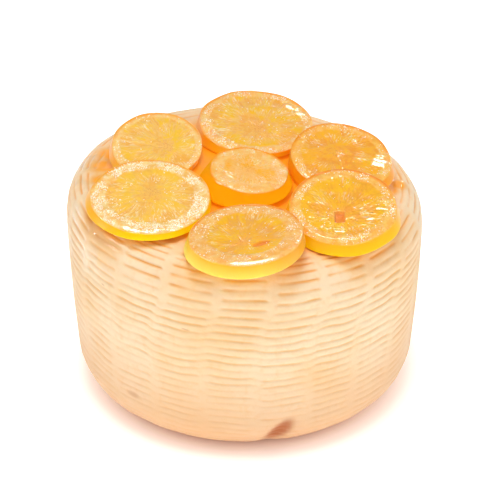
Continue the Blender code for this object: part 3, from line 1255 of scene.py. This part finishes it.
@dataclass(frozen=True)
class CheeseRind:
    """Rind of a young cow's milk cheese, pressed in a basket, salted and kept moist.

    The curd is cream to apricot, darker and yellower where the moulded grooves hold whey and syrup. Fat and
    moisture give it a soft sheen, and a little light passes under its surface.
    """

    cream: str = "#FADFBA"
    apricot: str = "#F9D3A3"
    groove: str = "#F5BA6E"
    # Round and under the slices the syrup colours also carry painted shade and painted orange light from the
    # slices.
    syrup: str = "#FBB234"
    syrup_deep_in_shade: str = "#F7A218"
    foot: str = "#E0AF82"
    mottle: str = "#F8C98F"
    groove_high: str = "#F2A23C"
    stain: str = "#B4653A"
    # glow is the colour of a painted glow, an emission round the slices.
    glow: str = "#F8A010"
    ior: float = 1.42
    gloss: float = 0.25
    spread: tuple[float, float, float] = (1.0, 0.6, 0.3)

    def material(self) -> bpy.types.Material:
        """The finish as a material.

        Returns:
            The material. It reads groove, syrup and stain from the mesh.
        """
        material, tree, surface = new_material("pressed_curd_rind")
        place = add_node(tree, "ShaderNodeTexCoord").outputs["Object"]
        groove, syrup, stain = (
            add_node(tree, "ShaderNodeAttribute", attribute_name=label).outputs["Fac"]
            for label in ("groove", "syrup", "stain")
        )

        # Curd dries unevenly, in patches of about 30 mm, with a finer mottle of about 3 mm.
        patch = add_node(tree, "ShaderNodeTexNoise", {"Vector": place, "Scale": 32.0, "Detail": 4.0})
        colour = add_node(
            tree,
            "ShaderNodeValToRGB",
            {"Fac": patch.outputs["Fac"]},
            stops=[(0.36, self.apricot), (0.62, self.cream)],
        )
        mottle = add_node(tree, "ShaderNodeTexNoise", {"Vector": place, "Scale": 350.0, "Detail": 2.0})
        mottle = add_node(
            tree, "ShaderNodeMapRange", {"Value": mottle, "From Min": 0.5, "From Max": 0.75, "To Max": 0.4}
        )
        colour = add_node(
            tree, "ShaderNodeMix", {0: mottle, 6: colour, 7: linear(self.mottle)}, data_type="RGBA"
        )
        level = add_node(tree, "ShaderNodeSeparateXYZ", {0: place}).outputs["Z"]
        # The grooves of the shoulder hold syrup, those of the side only whey.
        raised = add_node(tree, "ShaderNodeMapRange", {"Value": level, "From Min": 0.078, "From Max": 0.092})
        settled = add_node(
            tree,
            "ShaderNodeMix",
            {0: raised, 6: linear(self.groove), 7: linear(self.groove_high)},
            data_type="RGBA",
        )
        colour = add_node(tree, "ShaderNodeMix", {0: groove, 6: colour, 7: settled}, data_type="RGBA")
        # The syrup colour deepens where the slices cover it: partly real syrup, partly painted shade and
        # painted orange light from the slices.
        syrup_and_shade_colour = add_node(
            tree, "ShaderNodeValToRGB", {"Fac": syrup}, stops=[(0.45, self.syrup), (0.95, self.syrup_deep_in_shade)]
        )
        syrup_and_shade_share = add_node(tree, "ShaderNodeMapRange", {"Value": syrup, "From Max": 0.75})
        colour = add_node(tree, "ShaderNodeMix", {0: syrup_and_shade_share, 6: colour, 7: syrup_and_shade_colour}, data_type="RGBA")
        # The rind is a little darker towards the foot.
        low = add_node(
            tree, "ShaderNodeMapRange", {"Value": level, "From Min": 0.05, "From Max": 0.0, "To Max": 0.9}
        )
        colour = add_node(tree, "ShaderNodeMix", {0: low, 6: colour, 7: linear(self.foot)}, data_type="RGBA")
        colour = add_node(
            tree, "ShaderNodeMix", {0: stain, 6: colour, 7: linear(self.stain)}, data_type="RGBA"
        )
        # Painted glow: an orange emission in the syrup stands in for light that comes through the slices.
        glow = add_node(tree, "ShaderNodeMapRange", {"Value": syrup, "From Min": 0.5, "To Max": 0.22})
        surface.inputs["Emission Color"].default_value = linear(self.glow)
        tree.links.new(glow.outputs[0], surface.inputs["Emission Strength"])

        # Pressed curd shows a fine grain of about 0.6 mm.
        grain = add_node(tree, "ShaderNodeTexNoise", {"Vector": place, "Scale": 1500.0, "Detail": 2.0})
        bump = add_node(
            tree, "ShaderNodeBump", {"Height": grain.outputs["Fac"], "Strength": 0.25, "Distance": 0.0002}
        )
        gloss = add_node(tree, "ShaderNodeMapRange", {"Value": patch, "To Min": 0.42, "To Max": 0.55})
        tree.links.new(colour.outputs[2], surface.inputs["Base Color"])
        tree.links.new(gloss.outputs[0], surface.inputs["Roughness"])
        tree.links.new(bump.outputs[0], surface.inputs["Normal"])
        surface.inputs["IOR"].default_value = self.ior
        surface.inputs["Specular IOR Level"].default_value = self.gloss
        surface.inputs["Subsurface Weight"].default_value = 0.2
        surface.inputs["Subsurface Radius"].default_value = self.spread
        surface.inputs["Subsurface Scale"].default_value = 0.0015
        # A film of whey and syrup lies on the shoulder in patches of about 20 mm, and near the slices.
        wet = add_node(tree, "ShaderNodeTexNoise", {"Vector": place, "Scale": 45.0, "Detail": 2.0})
        wet = add_node(tree, "ShaderNodeMapRange", {"Value": wet, "From Min": 0.45, "From Max": 0.55})
        high = add_node(tree, "ShaderNodeMapRange", {"Value": level, "From Min": 0.07, "From Max": 0.085})
        wet = add_node(tree, "ShaderNodeMath", {0: wet, 1: high}, operation="MULTIPLY")
        east = add_node(tree, "ShaderNodeSeparateXYZ", {0: place}).outputs["X"]
        left = add_node(
            tree, "ShaderNodeMapRange", {"Value": east, "From Min": 0.02, "From Max": -0.01, "To Min": 0.2}
        )
        wet = add_node(tree, "ShaderNodeMath", {0: wet, 1: left}, operation="MULTIPLY")
        wet = add_node(tree, "ShaderNodeMath", {0: wet, 1: syrup}, operation="MAXIMUM")
        tree.links.new(wet.outputs[0], surface.inputs["Coat Weight"])
        surface.inputs["Coat Roughness"].default_value = 0.07
        return material


@dataclass(frozen=True)
class Stain:
    """A small mark on the rind, by its bearing in degrees and its height, with its half sizes.

    depth is how far it is pressed in, strength how brown it is and lean how far it slants as it rises.
    """

    bearing: float
    level: float
    across: float
    upward: float
    depth: float
    strength: float
    lean: float = 0.0


@dataclass(frozen=True)
class CheeseWheel:
    """The wheel, moulded in a basket: rows of weave round it, cut by upright stakes that lean with height."""

    radius: float = 78.0
    height: float = 95.8
    crown: float = 4.5
    shoulder_reach: float = 10.9
    shoulder_drop: float = 15.2
    base_radius: float = 52.4
    foot_reach: float = 22.5
    foot_rise: float = 20.2
    belly: float = 0.6
    height_lean: float = 0.037
    stakes: int = 21
    steps_per_panel: int = 15
    stake_phase: float = 6.2
    stake_swing: float = 4.8
    swing_low: float = 60.0
    swing_high: float = 82.0
    rows: int = 33
    pitch_top: float = 4.9
    pitch_foot: float = 3.1
    rings_per_row: int = 8
    crown_rings: int = 12
    section_step: float = 0.2
    stain_edge: float = 2.5
    syrup_lowest: float = 60.0
    finish: CheeseRind = CheeseRind()
    # Syrup that has run onto the shoulder, partly painted orange shade that the slices cast there: where, and
    # how far it reaches.
    syrup_runs_and_shade: tuple[tuple[float, float, float], ...] = (
        (66.5, 3.0, 4.8),
        (63.0, -2.5, 4.6),
        (-62.0, -4.0, 5.5),
        (-62.0, 8.0, 6.5),
        (-58.0, 19.0, 7.0),
    )
    stains: tuple[Stain, ...] = (
        Stain(11.9, 12.4, 4.9, 7.6, 2.3, 0.93, lean=0.45),
        Stain(-18.7, 67.0, 0.8, 0.6, 0.2, 0.95),
        Stain(-51.0, 74.0, 0.7, 0.5, 0.2, 0.7),
        Stain(-40.0, 23.0, 3.4, 1.6, 0.2, 0.3),
    )

    @staticmethod
    def arc_length(reach: float, drop: float) -> float:
        """Length of a quarter ellipse."""
        turns = np.linspace(0, math.pi / 2, 65)
        return float(np.hypot(np.diff(reach * np.sin(turns)), np.diff(drop * np.cos(turns))).sum())

    def lengths(self) -> tuple[float, float, float, float]:
        """Lengths of the crown, the shoulder, the side and the foot along the half section."""
        side_drop = self.height - self.shoulder_drop - self.foot_rise
        side_pull = self.radius - self.base_radius - self.foot_reach
        return (
            self.radius - self.shoulder_reach,
            self.arc_length(self.shoulder_reach, self.shoulder_drop),
            math.hypot(side_drop, side_pull),
            self.arc_length(self.foot_reach, self.foot_rise),
        )

    def outline(self, along: np.ndarray) -> np.ndarray:
        """The half section of the wheel, as the CAD node has it.

        Args:
            along: Distances along the section from the top of the axis.

        Returns:
            Radius and height, one row a distance.
        """
        crown, shoulder, side, foot = self.lengths()
        crown_radius = self.radius - self.shoulder_reach
        share = np.clip(along / crown, 0, 1)
        radius = share * crown_radius
        height = self.height + self.crown * (1 - share * share)
        turn = np.clip((along - crown) / shoulder, 0, 1) * math.pi / 2
        radius = radius + self.shoulder_reach * np.sin(turn)
        height = height - self.shoulder_drop * (1 - np.cos(turn))
        share = np.clip((along - crown - shoulder) / side, 0, 1)
        radius = radius - (self.radius - self.base_radius - self.foot_reach) * share
        radius = radius + self.belly * 4 * share * (1 - share)
        height = height - (self.height - self.shoulder_drop - self.foot_rise) * share
        turn = np.clip((along - crown - shoulder - side) / foot, 0, 1) * math.pi / 2
        radius = radius - self.foot_reach * (1 - np.cos(turn))
        height = height - self.foot_rise * np.sin(turn)
        return np.column_stack([radius, height])

    def ring_places(self) -> tuple[np.ndarray, np.ndarray]:
        """Where the rings of points lie, from the crown down, and the woven row that each belongs to.

        Returns:
            Distances along the section, and rows counted up from the foot.
        """
        total = sum(self.lengths())
        along = total - 0.5 * self.pitch_foot
        half_rows = []
        for _ in range(2 * self.rows):
            half_rows.append(along)
            along -= (self.pitch_top + (self.pitch_foot - self.pitch_top) * along / total) / 2
        count = np.arange(2 * self.rows) / 2
        fine = np.arange((self.rows - 0.5) * self.rings_per_row + 1) / self.rings_per_row
        woven = np.interp(fine, count, half_rows)
        crown = np.linspace(woven[-1], 0, self.crown_rings + 1)[1:-1]
        crown_rows = fine[-1] + (woven[-1] - crown) / self.pitch_top
        foot = np.array([total, total - 0.25 * self.pitch_foot])
        places = np.concatenate([foot, woven, crown])[::-1]
        rows = np.concatenate([[-0.5, -0.25], fine, crown_rows])[::-1]
        return places, rows

    def blank(self, slices: tuple[CandiedSlice, ...]) -> bpy.types.Object:
        """The wheel before its weave, with the attributes that the weave and the rind read.

        Args:
            slices: The slices that lie on it and leave syrup and painted shade round them.

        Returns:
            The object.
        """
        along, rows = self.ring_places()
        steps = self.stakes * self.steps_per_panel
        section = self.outline(along)
        total = sum(self.lengths())
        before = self.outline(np.maximum(along - self.section_step, 0))
        after = self.outline(np.minimum(along + self.section_step, total))
        run = after - before
        run /= np.linalg.norm(run, axis=1)[:, None]
        # Steps are counted from the back, so that the seam of the counting lies there.
        stake = (np.arange(steps) - steps // 2) / self.steps_per_panel
        swing = self.stake_swing * (smooth(section[:, 1], self.swing_low, self.swing_high) - 0.5)
        angle = np.radians(self.stake_phase + 360 * stake[None, :] / self.stakes + swing[:, None])
        radius = section[:, 0][:, None]
        height = np.repeat(section[:, 1][:, None], steps, 1)
        flat_x = radius * np.sin(angle)
        flat_y = -radius * np.cos(angle)
        level = height * (1 - self.height_lean * flat_x / self.radius)
        points = np.stack([flat_x, flat_y, level], -1).reshape(-1, 3)
        out_flat = -run[:, 1][:, None]
        out_up = np.repeat(run[:, 0][:, None], steps, 1)
        outward = np.stack([out_flat * np.sin(angle), -out_flat * np.cos(angle), out_up], -1).reshape(-1, 3)
        # The weave fades out over the lowest two rows and the highest two.
        woven = smooth(rows, -0.4, 1.5) * smooth(rows, self.rows + 1.0, self.rows - 1.5)

        bearing = np.degrees(np.arctan2(points[:, 0], -points[:, 1]))
        dent = np.zeros(len(points))
        stain = np.zeros(len(points))
        for mark in self.stains:
            across = (bearing - mark.bearing) * math.radians(1) * np.hypot(points[:, 0], points[:, 1])
            upward = points[:, 2] - mark.level
            away = ((across - mark.lean * upward) / mark.across) ** 2 + (upward / mark.upward) ** 2
            dent += mark.depth * np.exp(-away)
            stain = np.maximum(stain, mark.strength * np.exp(-(away**self.stain_edge)))
        syrup = self.syrup_and_painted_shade_round(points, slices)
        for east, north, spread in self.syrup_runs_and_shade:
            away = np.hypot(points[:, 0] - east, points[:, 1] - north) / spread
            syrup = np.maximum(syrup, 0.9 * np.exp(-(away**3)) * (points[:, 2] > self.syrup_lowest))
        poles = np.array([[0, 0, self.height + self.crown], [0, 0, 0]])

        def closed(values: np.ndarray, top: Any, foot: Any) -> np.ndarray:
            """Adds the two poles' values to those of the rings."""
            return np.concatenate([[top], values, [foot]])

        kept = {
            "row": closed(np.repeat(rows, steps), rows[0], -0.5),
            "stake": closed(np.tile(stake, len(rows)), 0, 0),
            "outward": closed(outward, (0, 0, 1), (0, 0, -1)),
            "woven": closed(np.repeat(woven, steps), 0, 0),
            "dent": closed(dent, 0, 0),
            "stain": closed(stain, 0, 0),
            "syrup": closed(syrup, 0, 0),
        }
        points = closed(points, poles[0], poles[1])
        return new_mesh("cheese_blank", points * MM, lathe_faces(len(rows), steps), kept)

    def syrup_and_painted_shade_round(self, points: np.ndarray, slices: tuple[CandiedSlice, ...]) -> np.ndarray:
        """How much syrup lies in the rind round the slices, with painted shade and painted orange light from
        them.

        Args:
            points: Places on the rind in millimetres.
            slices: The slices.

        Returns:
            A share for each place: 1 at a slice's foot, falling off over a few millimetres.
        """
        dry = np.ones(len(points))
        from_axis = np.hypot(points[:, 0], points[:, 1])
        # Syrup spreads 10 mm between the slices and 3 mm on the shoulder. At the front it hardly shows.
        # Beneath the slices it is full, as painted shade.
        spread = 3 + 7 * smooth(from_axis, 62, 48)
        bare = smooth(points[:, 1], -30, -56) * smooth(from_axis, 50, 62)
        for citrus in slices:
            foot = np.array(citrus.place[:2]) + np.array(citrus.foot_shift)
            away = points[:, :2] - foot
            away[:, 1] /= citrus.oval
            gap = np.linalg.norm(away, axis=1) - citrus.radius - citrus.flare
            drop = citrus.place[2] - citrus.thickness - points[:, 2]
            fade = 12 - 6 * bare
            near = np.exp(-np.clip(gap, 0, None) / spread) * np.exp(-np.clip(drop, 0, None) / fade)
            outside = bare * smooth(gap, -1.5, 1.0)
            dry *= 1 - 0.95 * near * (1 - 0.93 * outside) * (points[:, 2] > self.syrup_lowest)
        return 1 - dry

    def weave(self) -> bpy.types.NodeTree:
        """The tree that presses the basket's weave into the rind.

        Returns:
            The tree. It keeps groove for the finish.
        """
        tree, given = new_tree(
            "basket_weave",
            {
                "Groove depth": ("NodeSocketFloat", 0.00075),
                "Stake half width": ("NodeSocketFloat", 0.05),
                "Row shift": ("NodeSocketFloat", 0.24),
                "Row wander": ("NodeSocketFloat", 1.3),
                "Lumps": ("NodeSocketFloat", 0.0012),
                "Finish": ("NodeSocketMaterial", None),
            },
        )
        read = "GeometryNodeInputNamedAttribute"
        calc = "ShaderNodeMath"
        row, stake, woven, dent = (
            add_node(tree, read, {"Name": label}, data_type="FLOAT").outputs["Attribute"]
            for label in ("row", "stake", "woven", "dent")
        )
        outward = add_node(tree, read, {"Name": "outward"}, data_type="FLOAT_VECTOR").outputs["Attribute"]
        place = add_node(tree, "GeometryNodeInputPosition")
        level = add_node(tree, "ShaderNodeSeparateXYZ", {0: place}).outputs["Z"]

        # Across a panel: 0 at its stakes, 1 in its open middle.
        share = add_node(tree, calc, {0: stake}, operation="FRACT")
        other = add_node(tree, calc, {0: 1.0, 1: share}, operation="SUBTRACT")
        near = add_node(tree, calc, {0: share, 1: other}, operation="MINIMUM")
        open_share = add_node(
            tree,
            "ShaderNodeMapRange",
            {"Value": near, "From Min": given.outputs["Stake half width"], "From Max": 0.16},
            interpolation_type="SMOOTHSTEP",
        )
        # Stakes show well near the top, hardly at half height, and softly near the foot.
        firm_top = add_node(
            tree, "ShaderNodeMapRange", {"Value": level, "From Min": 0.062, "From Max": 0.078}
        )
        firm_foot = add_node(
            tree, "ShaderNodeMapRange", {"Value": level, "From Min": 0.056, "From Max": 0.045, "To Max": 0.75}
        )
        firm = add_node(tree, calc, {0: firm_top, 1: firm_foot}, operation="MAXIMUM")
        firm = add_node(tree, calc, {0: firm, 1: 0.35}, operation="MAXIMUM")
        shut = add_node(tree, calc, {0: 1.0, 1: open_share}, operation="SUBTRACT")
        shut = add_node(tree, calc, {0: shut, 1: firm}, operation="MULTIPLY")
        open_share = add_node(tree, calc, {0: 1.0, 1: shut}, operation="SUBTRACT")

        # Rows jump a little from panel to panel and wander at half height.
        middle = add_node(tree, calc, {0: stake, 1: -0.5}, operation="ADD")
        panel = add_node(tree, calc, {0: middle}, operation="FLOOR")
        across = add_node(tree, calc, {0: middle}, operation="FRACT")
        across = add_node(
            tree,
            "ShaderNodeMapRange",
            {"Value": across, "From Min": 0.35, "From Max": 0.65},
            interpolation_type="SMOOTHSTEP",
        )
        panel = add_node(tree, calc, {0: panel, 1: across}, operation="ADD")
        phase = add_node(
            tree, calc, {0: panel, 1: 8 * math.tau / self.stakes, 2: 0.6}, operation="MULTIPLY_ADD"
        )
        jump = add_node(tree, calc, {0: phase}, operation="SINE")
        jump = add_node(tree, calc, {0: jump, 1: given.outputs["Row shift"]}, operation="MULTIPLY")
        jump = add_node(tree, calc, {0: jump, 1: woven}, operation="MULTIPLY")
        drift = add_node(tree, "ShaderNodeTexNoise", {"Vector": place, "Scale": 42.0, "Detail": 2.0})
        drift = add_node(tree, calc, {0: drift, 1: -0.5}, operation="ADD")
        calm = add_node(
            tree, "ShaderNodeMapRange", {"Value": level, "From Min": 0.085, "From Max": 0.06, "To Min": 0.3}
        )
        drift = add_node(tree, calc, {0: drift, 1: calm}, operation="MULTIPLY")
        drift = add_node(tree, calc, {0: drift, 1: given.outputs["Row wander"]}, operation="MULTIPLY")
        count = add_node(tree, calc, {0: row, 1: jump}, operation="ADD")
        count = add_node(tree, calc, {0: count, 1: drift}, operation="ADD")

        # Between two ridges: a broad round band and a narrow groove.
        turn = add_node(tree, calc, {0: count, 1: math.tau}, operation="MULTIPLY")
        wave = add_node(tree, calc, {0: turn}, operation="COSINE")
        wave = add_node(tree, calc, {0: wave, 1: -0.5, 2: 0.5}, operation="MULTIPLY_ADD")
        groove = add_node(tree, calc, {0: wave, 1: 6.0}, operation="POWER")
        index = add_node(tree, calc, {0: count}, operation="FLOOR")
        far = add_node(tree, "ShaderNodeVectorMath", {0: place, 1: (60.0, 60.0, 0.0)}, operation="MULTIPLY")
        layer = add_node(tree, "ShaderNodeCombineXYZ", {"Z": index})
        layer = add_node(tree, "ShaderNodeVectorMath", {0: layer, 1: (1.0, 1.0, 1.73)}, operation="MULTIPLY")
        spot = add_node(tree, "ShaderNodeVectorMath", {0: far, 1: layer}, operation="ADD")
        vary = add_node(tree, "ShaderNodeTexNoise", {"Vector": spot, "Scale": 1.0, "Detail": 1.0})
        vary = add_node(
            tree, "ShaderNodeMapRange", {"Value": vary, "From Min": 0.35, "From Max": 0.6, "To Min": 0.25}
        )
        crisp = add_node(
            tree, "ShaderNodeMapRange", {"Value": level, "From Min": 0.03, "From Max": 0.085, "To Min": 0.4}
        )
        pressed = add_node(tree, calc, {0: open_share, 1: woven}, operation="MULTIPLY")
        pressed = add_node(tree, calc, {0: pressed, 1: crisp}, operation="MULTIPLY")
        line = add_node(tree, calc, {0: groove, 1: vary}, operation="MULTIPLY")
        line = add_node(tree, calc, {0: line, 1: pressed}, operation="MULTIPLY")
        band = add_node(tree, calc, {0: wave, 1: pressed}, operation="MULTIPLY")
        relief = add_node(tree, calc, {0: band, 1: 0.35}, operation="MULTIPLY")
        relief = add_node(tree, calc, {0: line, 1: 0.75, 2: relief}, operation="MULTIPLY_ADD")
        relief = add_node(tree, calc, {0: relief, 1: given.outputs["Groove depth"]}, operation="MULTIPLY")

        # The curd itself is lumpy, more so at the foot.
        lump = add_node(tree, "ShaderNodeTexNoise", {"Vector": place, "Scale": 70.0, "Detail": 3.0})
        rough_foot = add_node(
            tree, "ShaderNodeMapRange", {"Value": level, "From Min": 0.03, "From Max": 0.0, "To Min": 0.5}
        )
        lump = add_node(tree, calc, {0: lump, 1: -0.48}, operation="ADD")
        lump = add_node(tree, calc, {0: lump, 1: given.outputs["Lumps"]}, operation="MULTIPLY")
        lump = add_node(tree, calc, {0: lump, 1: rough_foot}, operation="MULTIPLY")
        on_base = add_node(
            tree, "ShaderNodeMapRange", {"Value": level, "From Min": 0.0002, "From Max": 0.003}
        )
        lump = add_node(tree, calc, {0: lump, 1: on_base}, operation="MULTIPLY")
        hollow = add_node(tree, calc, {0: dent, 1: MM}, operation="MULTIPLY")
        relief = add_node(tree, calc, {0: relief, 1: lump}, operation="ADD")
        relief = add_node(tree, calc, {0: relief, 1: hollow}, operation="ADD")
        inward = add_node(tree, calc, {0: relief, 1: -1.0}, operation="MULTIPLY")
        offset = add_node(tree, "ShaderNodeVectorMath", {0: outward, "Scale": inward}, operation="SCALE")
        kept = add_node(
            tree,
            "GeometryNodeStoreNamedAttribute",
            {"Geometry": given.outputs["Geometry"], "Name": "groove", "Value": line},
        )
        shaped = add_node(tree, "GeometryNodeSetPosition", {"Geometry": kept, "Offset": offset})
        whole = add_node(tree, "GeometryNodeRealizeInstances", {"Geometry": shaped})
        dressed = add_node(
            tree, "GeometryNodeSetMaterial", {"Geometry": whole, "Material": given.outputs["Finish"]}
        )
        add_node(tree, "NodeGroupOutput", {"Geometry": dressed})
        return tree

    def build(self, slices: tuple[CandiedSlice, ...]) -> bpy.types.Object:
        """The finished wheel.

        Args:
            slices: The slices that lie on it.

        Returns:
            The piece, which replaces the CAD node.
        """
        values = {"Finish": self.finish.material()}
        piece = grow(self.blank(slices), self.weave(), values, "cheese_wheel_rind")
        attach(piece, BODY)
        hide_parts("cheese_wheel")
        return piece


# Studio


@dataclass(frozen=True)
class SoftBox:
    """A soft light: where it hangs, what it points at, its size in metres and its power in watts.

    It is square unless breadth gives its second side.
    """

    name: str
    place: tuple[float, float, float]
    size: float
    power: float
    target: tuple[float, float, float] = (0.0, 0.0, 0.06)
    only_gloss: bool = False
    breadth: float | None = None


@dataclass(frozen=True)
class PaleStudio:
    """The white floor, the soft light and the camera."""

    elevation: float = 32.25
    distance: float = 1.1
    aim_height: float = 0.045
    lens: float = 177.25
    shift: tuple[float, float] = (0.0102, 0.0605)
    sky: float = 0.45
    mirrored_sky: float = 0.2
    mirrored_horizon: float = 0.7
    horizon_band: tuple[float, float] = (0.3, 0.5)
    lights: tuple[SoftBox, ...] = (
        SoftBox("overhead", (-0.05, -0.1, 0.95), 0.4, 3.4),
        SoftBox("left_high", (-0.6, -0.25, 0.65), 0.3, 0.4),
        SoftBox("right_high", (0.65, -0.25, 0.6), 0.3, 0.5),
        SoftBox("front", (0.1, -1.3, 0.75), 1.1, 3.2),
        SoftBox(
            "glint_above",
            (-0.02, 0.02, 0.97),
            0.6,
            6.6,
            target=(-0.02, 0.0, 0.06),
            only_gloss=True,
            breadth=0.17,
        ),
        SoftBox("glint_left", (-0.8, -0.06, 0.6), 0.3, 4.5, only_gloss=True),
        SoftBox("glint_low_back", (0.35, 1.5, 0.45), 0.2, 1.6, only_gloss=True),
        SoftBox("glint_back_right", (0.5, 0.6, 0.66), 0.12, 1.4, only_gloss=True),
    )

    def build(self) -> None:
        """Sets up the room, the floor, the lights and the camera."""
        bpy.context.scene.view_settings.view_transform = "Standard"
        self.room()
        self.floor()
        for box in self.lights:
            self.hang(box)
        self.camera()

    def room(self) -> None:
        """The pale room round the sheet, as the world."""
        world = bpy.data.worlds.new("pale_room")
        world.use_nodes = True
        background = world.node_tree.nodes["Background"]
        background.inputs["Color"].default_value = linear("#FFFFFF")
        # Gloss sees a room that is dim overhead, as past black flags, so that glazed faces keep their deep
        # colour, and pale at the horizon.
        tree = world.node_tree
        mirrored = add_node(tree, "ShaderNodeLightPath").outputs["Is Glossy Ray"]
        way = add_node(tree, "ShaderNodeTexCoord").outputs["Generated"]
        upward = add_node(tree, "ShaderNodeSeparateXYZ", {0: way}).outputs["Z"]
        seen = add_node(
            tree,
            "ShaderNodeMapRange",
            {
                "Value": upward,
                "From Min": self.horizon_band[0],
                "From Max": self.horizon_band[1],
                "To Min": self.mirrored_horizon,
                "To Max": self.mirrored_sky,
            },
        )
        strength = add_node(tree, "ShaderNodeMix", {0: mirrored, 2: self.sky, 3: seen})
        tree.links.new(strength.outputs[0], background.inputs["Strength"])
        bpy.context.scene.world = world

    @staticmethod
    def hang(box: SoftBox) -> None:
        """Hangs one light. It lights the object or shows in its gloss, not both.

        Args:
            box: The light.
        """
        light = bpy.data.lights.new(box.name, "AREA")
        light.shape = "RECTANGLE"
        light.size = box.size
        light.size_y = box.breadth or box.size
        light.energy = box.power
        lamp = bpy.data.objects.new(box.name, light)
        lamp.location = box.place
        lamp.visible_diffuse = not box.only_gloss
        lamp.visible_glossy = box.only_gloss
        aim = Vector(box.target) - Vector(box.place)
        lamp.rotation_euler = aim.to_track_quat("-Z", "Y").to_euler()
        bpy.context.scene.collection.objects.link(lamp)

    def camera(self) -> None:
        """Puts the camera at the photo's angle."""
        view = bpy.data.cameras.new("photo_view")
        view.lens = self.lens
        view.sensor_width = 36
        view.shift_x, view.shift_y = self.shift
        camera = bpy.data.objects.new("photo_view", view)
        tilt = math.radians(self.elevation)
        camera.location = (
            0,
            -self.distance * math.cos(tilt),
            self.aim_height + self.distance * math.sin(tilt),
        )
        camera.rotation_euler = (math.pi / 2 - tilt, 0, 0)
        bpy.context.scene.collection.objects.link(camera)
        bpy.context.scene.camera = camera

    @staticmethod
    def floor() -> None:
        """A matt white sheet under the cheese."""
        material, tree, surface = new_material("matt_white_paper")
        place = add_node(tree, "ShaderNodeTexCoord").outputs["Object"]
        fibre = add_node(tree, "ShaderNodeTexNoise", {"Vector": place, "Scale": 600.0})
        tint = add_node(
            tree,
            "ShaderNodeValToRGB",
            {"Fac": fibre.outputs["Fac"]},
            stops=[(0.3, "#FCFBFA"), (0.7, "#FFFEFD")],
        )
        reach = add_node(tree, "ShaderNodeVectorMath", {0: place}, operation="LENGTH").outputs["Value"]
        # Painted warm shade: the sheet is tinted warm close to the cheese's foot, standing for light that has
        # passed through the cheese.
        warm = add_node(tree, "ShaderNodeMapRange", {"Value": reach, "From Min": 0.08, "From Max": 0.055})
        tint = add_node(tree, "ShaderNodeMix", {0: warm, 6: tint, 7: linear("#F8D2B4")}, data_type="RGBA")
        tree.links.new(tint.outputs[2], surface.inputs["Base Color"])
        surface.inputs["Roughness"].default_value = 0.9
        surface.inputs["Specular IOR Level"].default_value = 0.1
        # The sheet glows, as on a light table, but for the part under and close round the cheese, which stays
        # as a painted shadow.
        glow_outside_painted_shadow = add_node(
            tree,
            "ShaderNodeMapRange",
            {"Value": reach, "From Min": 0.052, "From Max": 0.082, "To Max": 0.5},
            interpolation_type="SMOOTHSTEP",
        )
        surface.inputs["Emission Color"].default_value = linear("#FFFFFF")
        tree.links.new(glow_outside_painted_shadow.outputs[0], surface.inputs["Emission Strength"])
        half = 30.0  # metres, so that the sheet's edge is past the horizon of every view
        corners = np.array([(-half, -half, 0), (half, -half, 0), (half, half, 0), (-half, half, 0)])
        sheet = new_mesh("floor_sheet", corners, [(0, 1, 2, 3)], {})
        sheet.data.materials.append(material)


def main() -> None:
    """Builds the studio, the slices, their sugar and the wheel, then logs their face counts."""
    logging.basicConfig(level=logging.INFO, format="%(name)s: %(message)s")
    PaleStudio().build()
    made = []
    for citrus in CITRUS_SLICES:
        piece = citrus.build()
        made.append((citrus, piece))
        log.info("%s: %d faces", piece.name, len(piece.data.polygons))
    for piece in SugarBloom().build(made):
        log.info("%s: %d faces", piece.name, len(piece.data.polygons))
    wheel = CheeseWheel().build(CITRUS_SLICES)
    log.info("%s: %d faces", wheel.name, len(wheel.data.polygons))


if __name__ == "__main__":
    main()
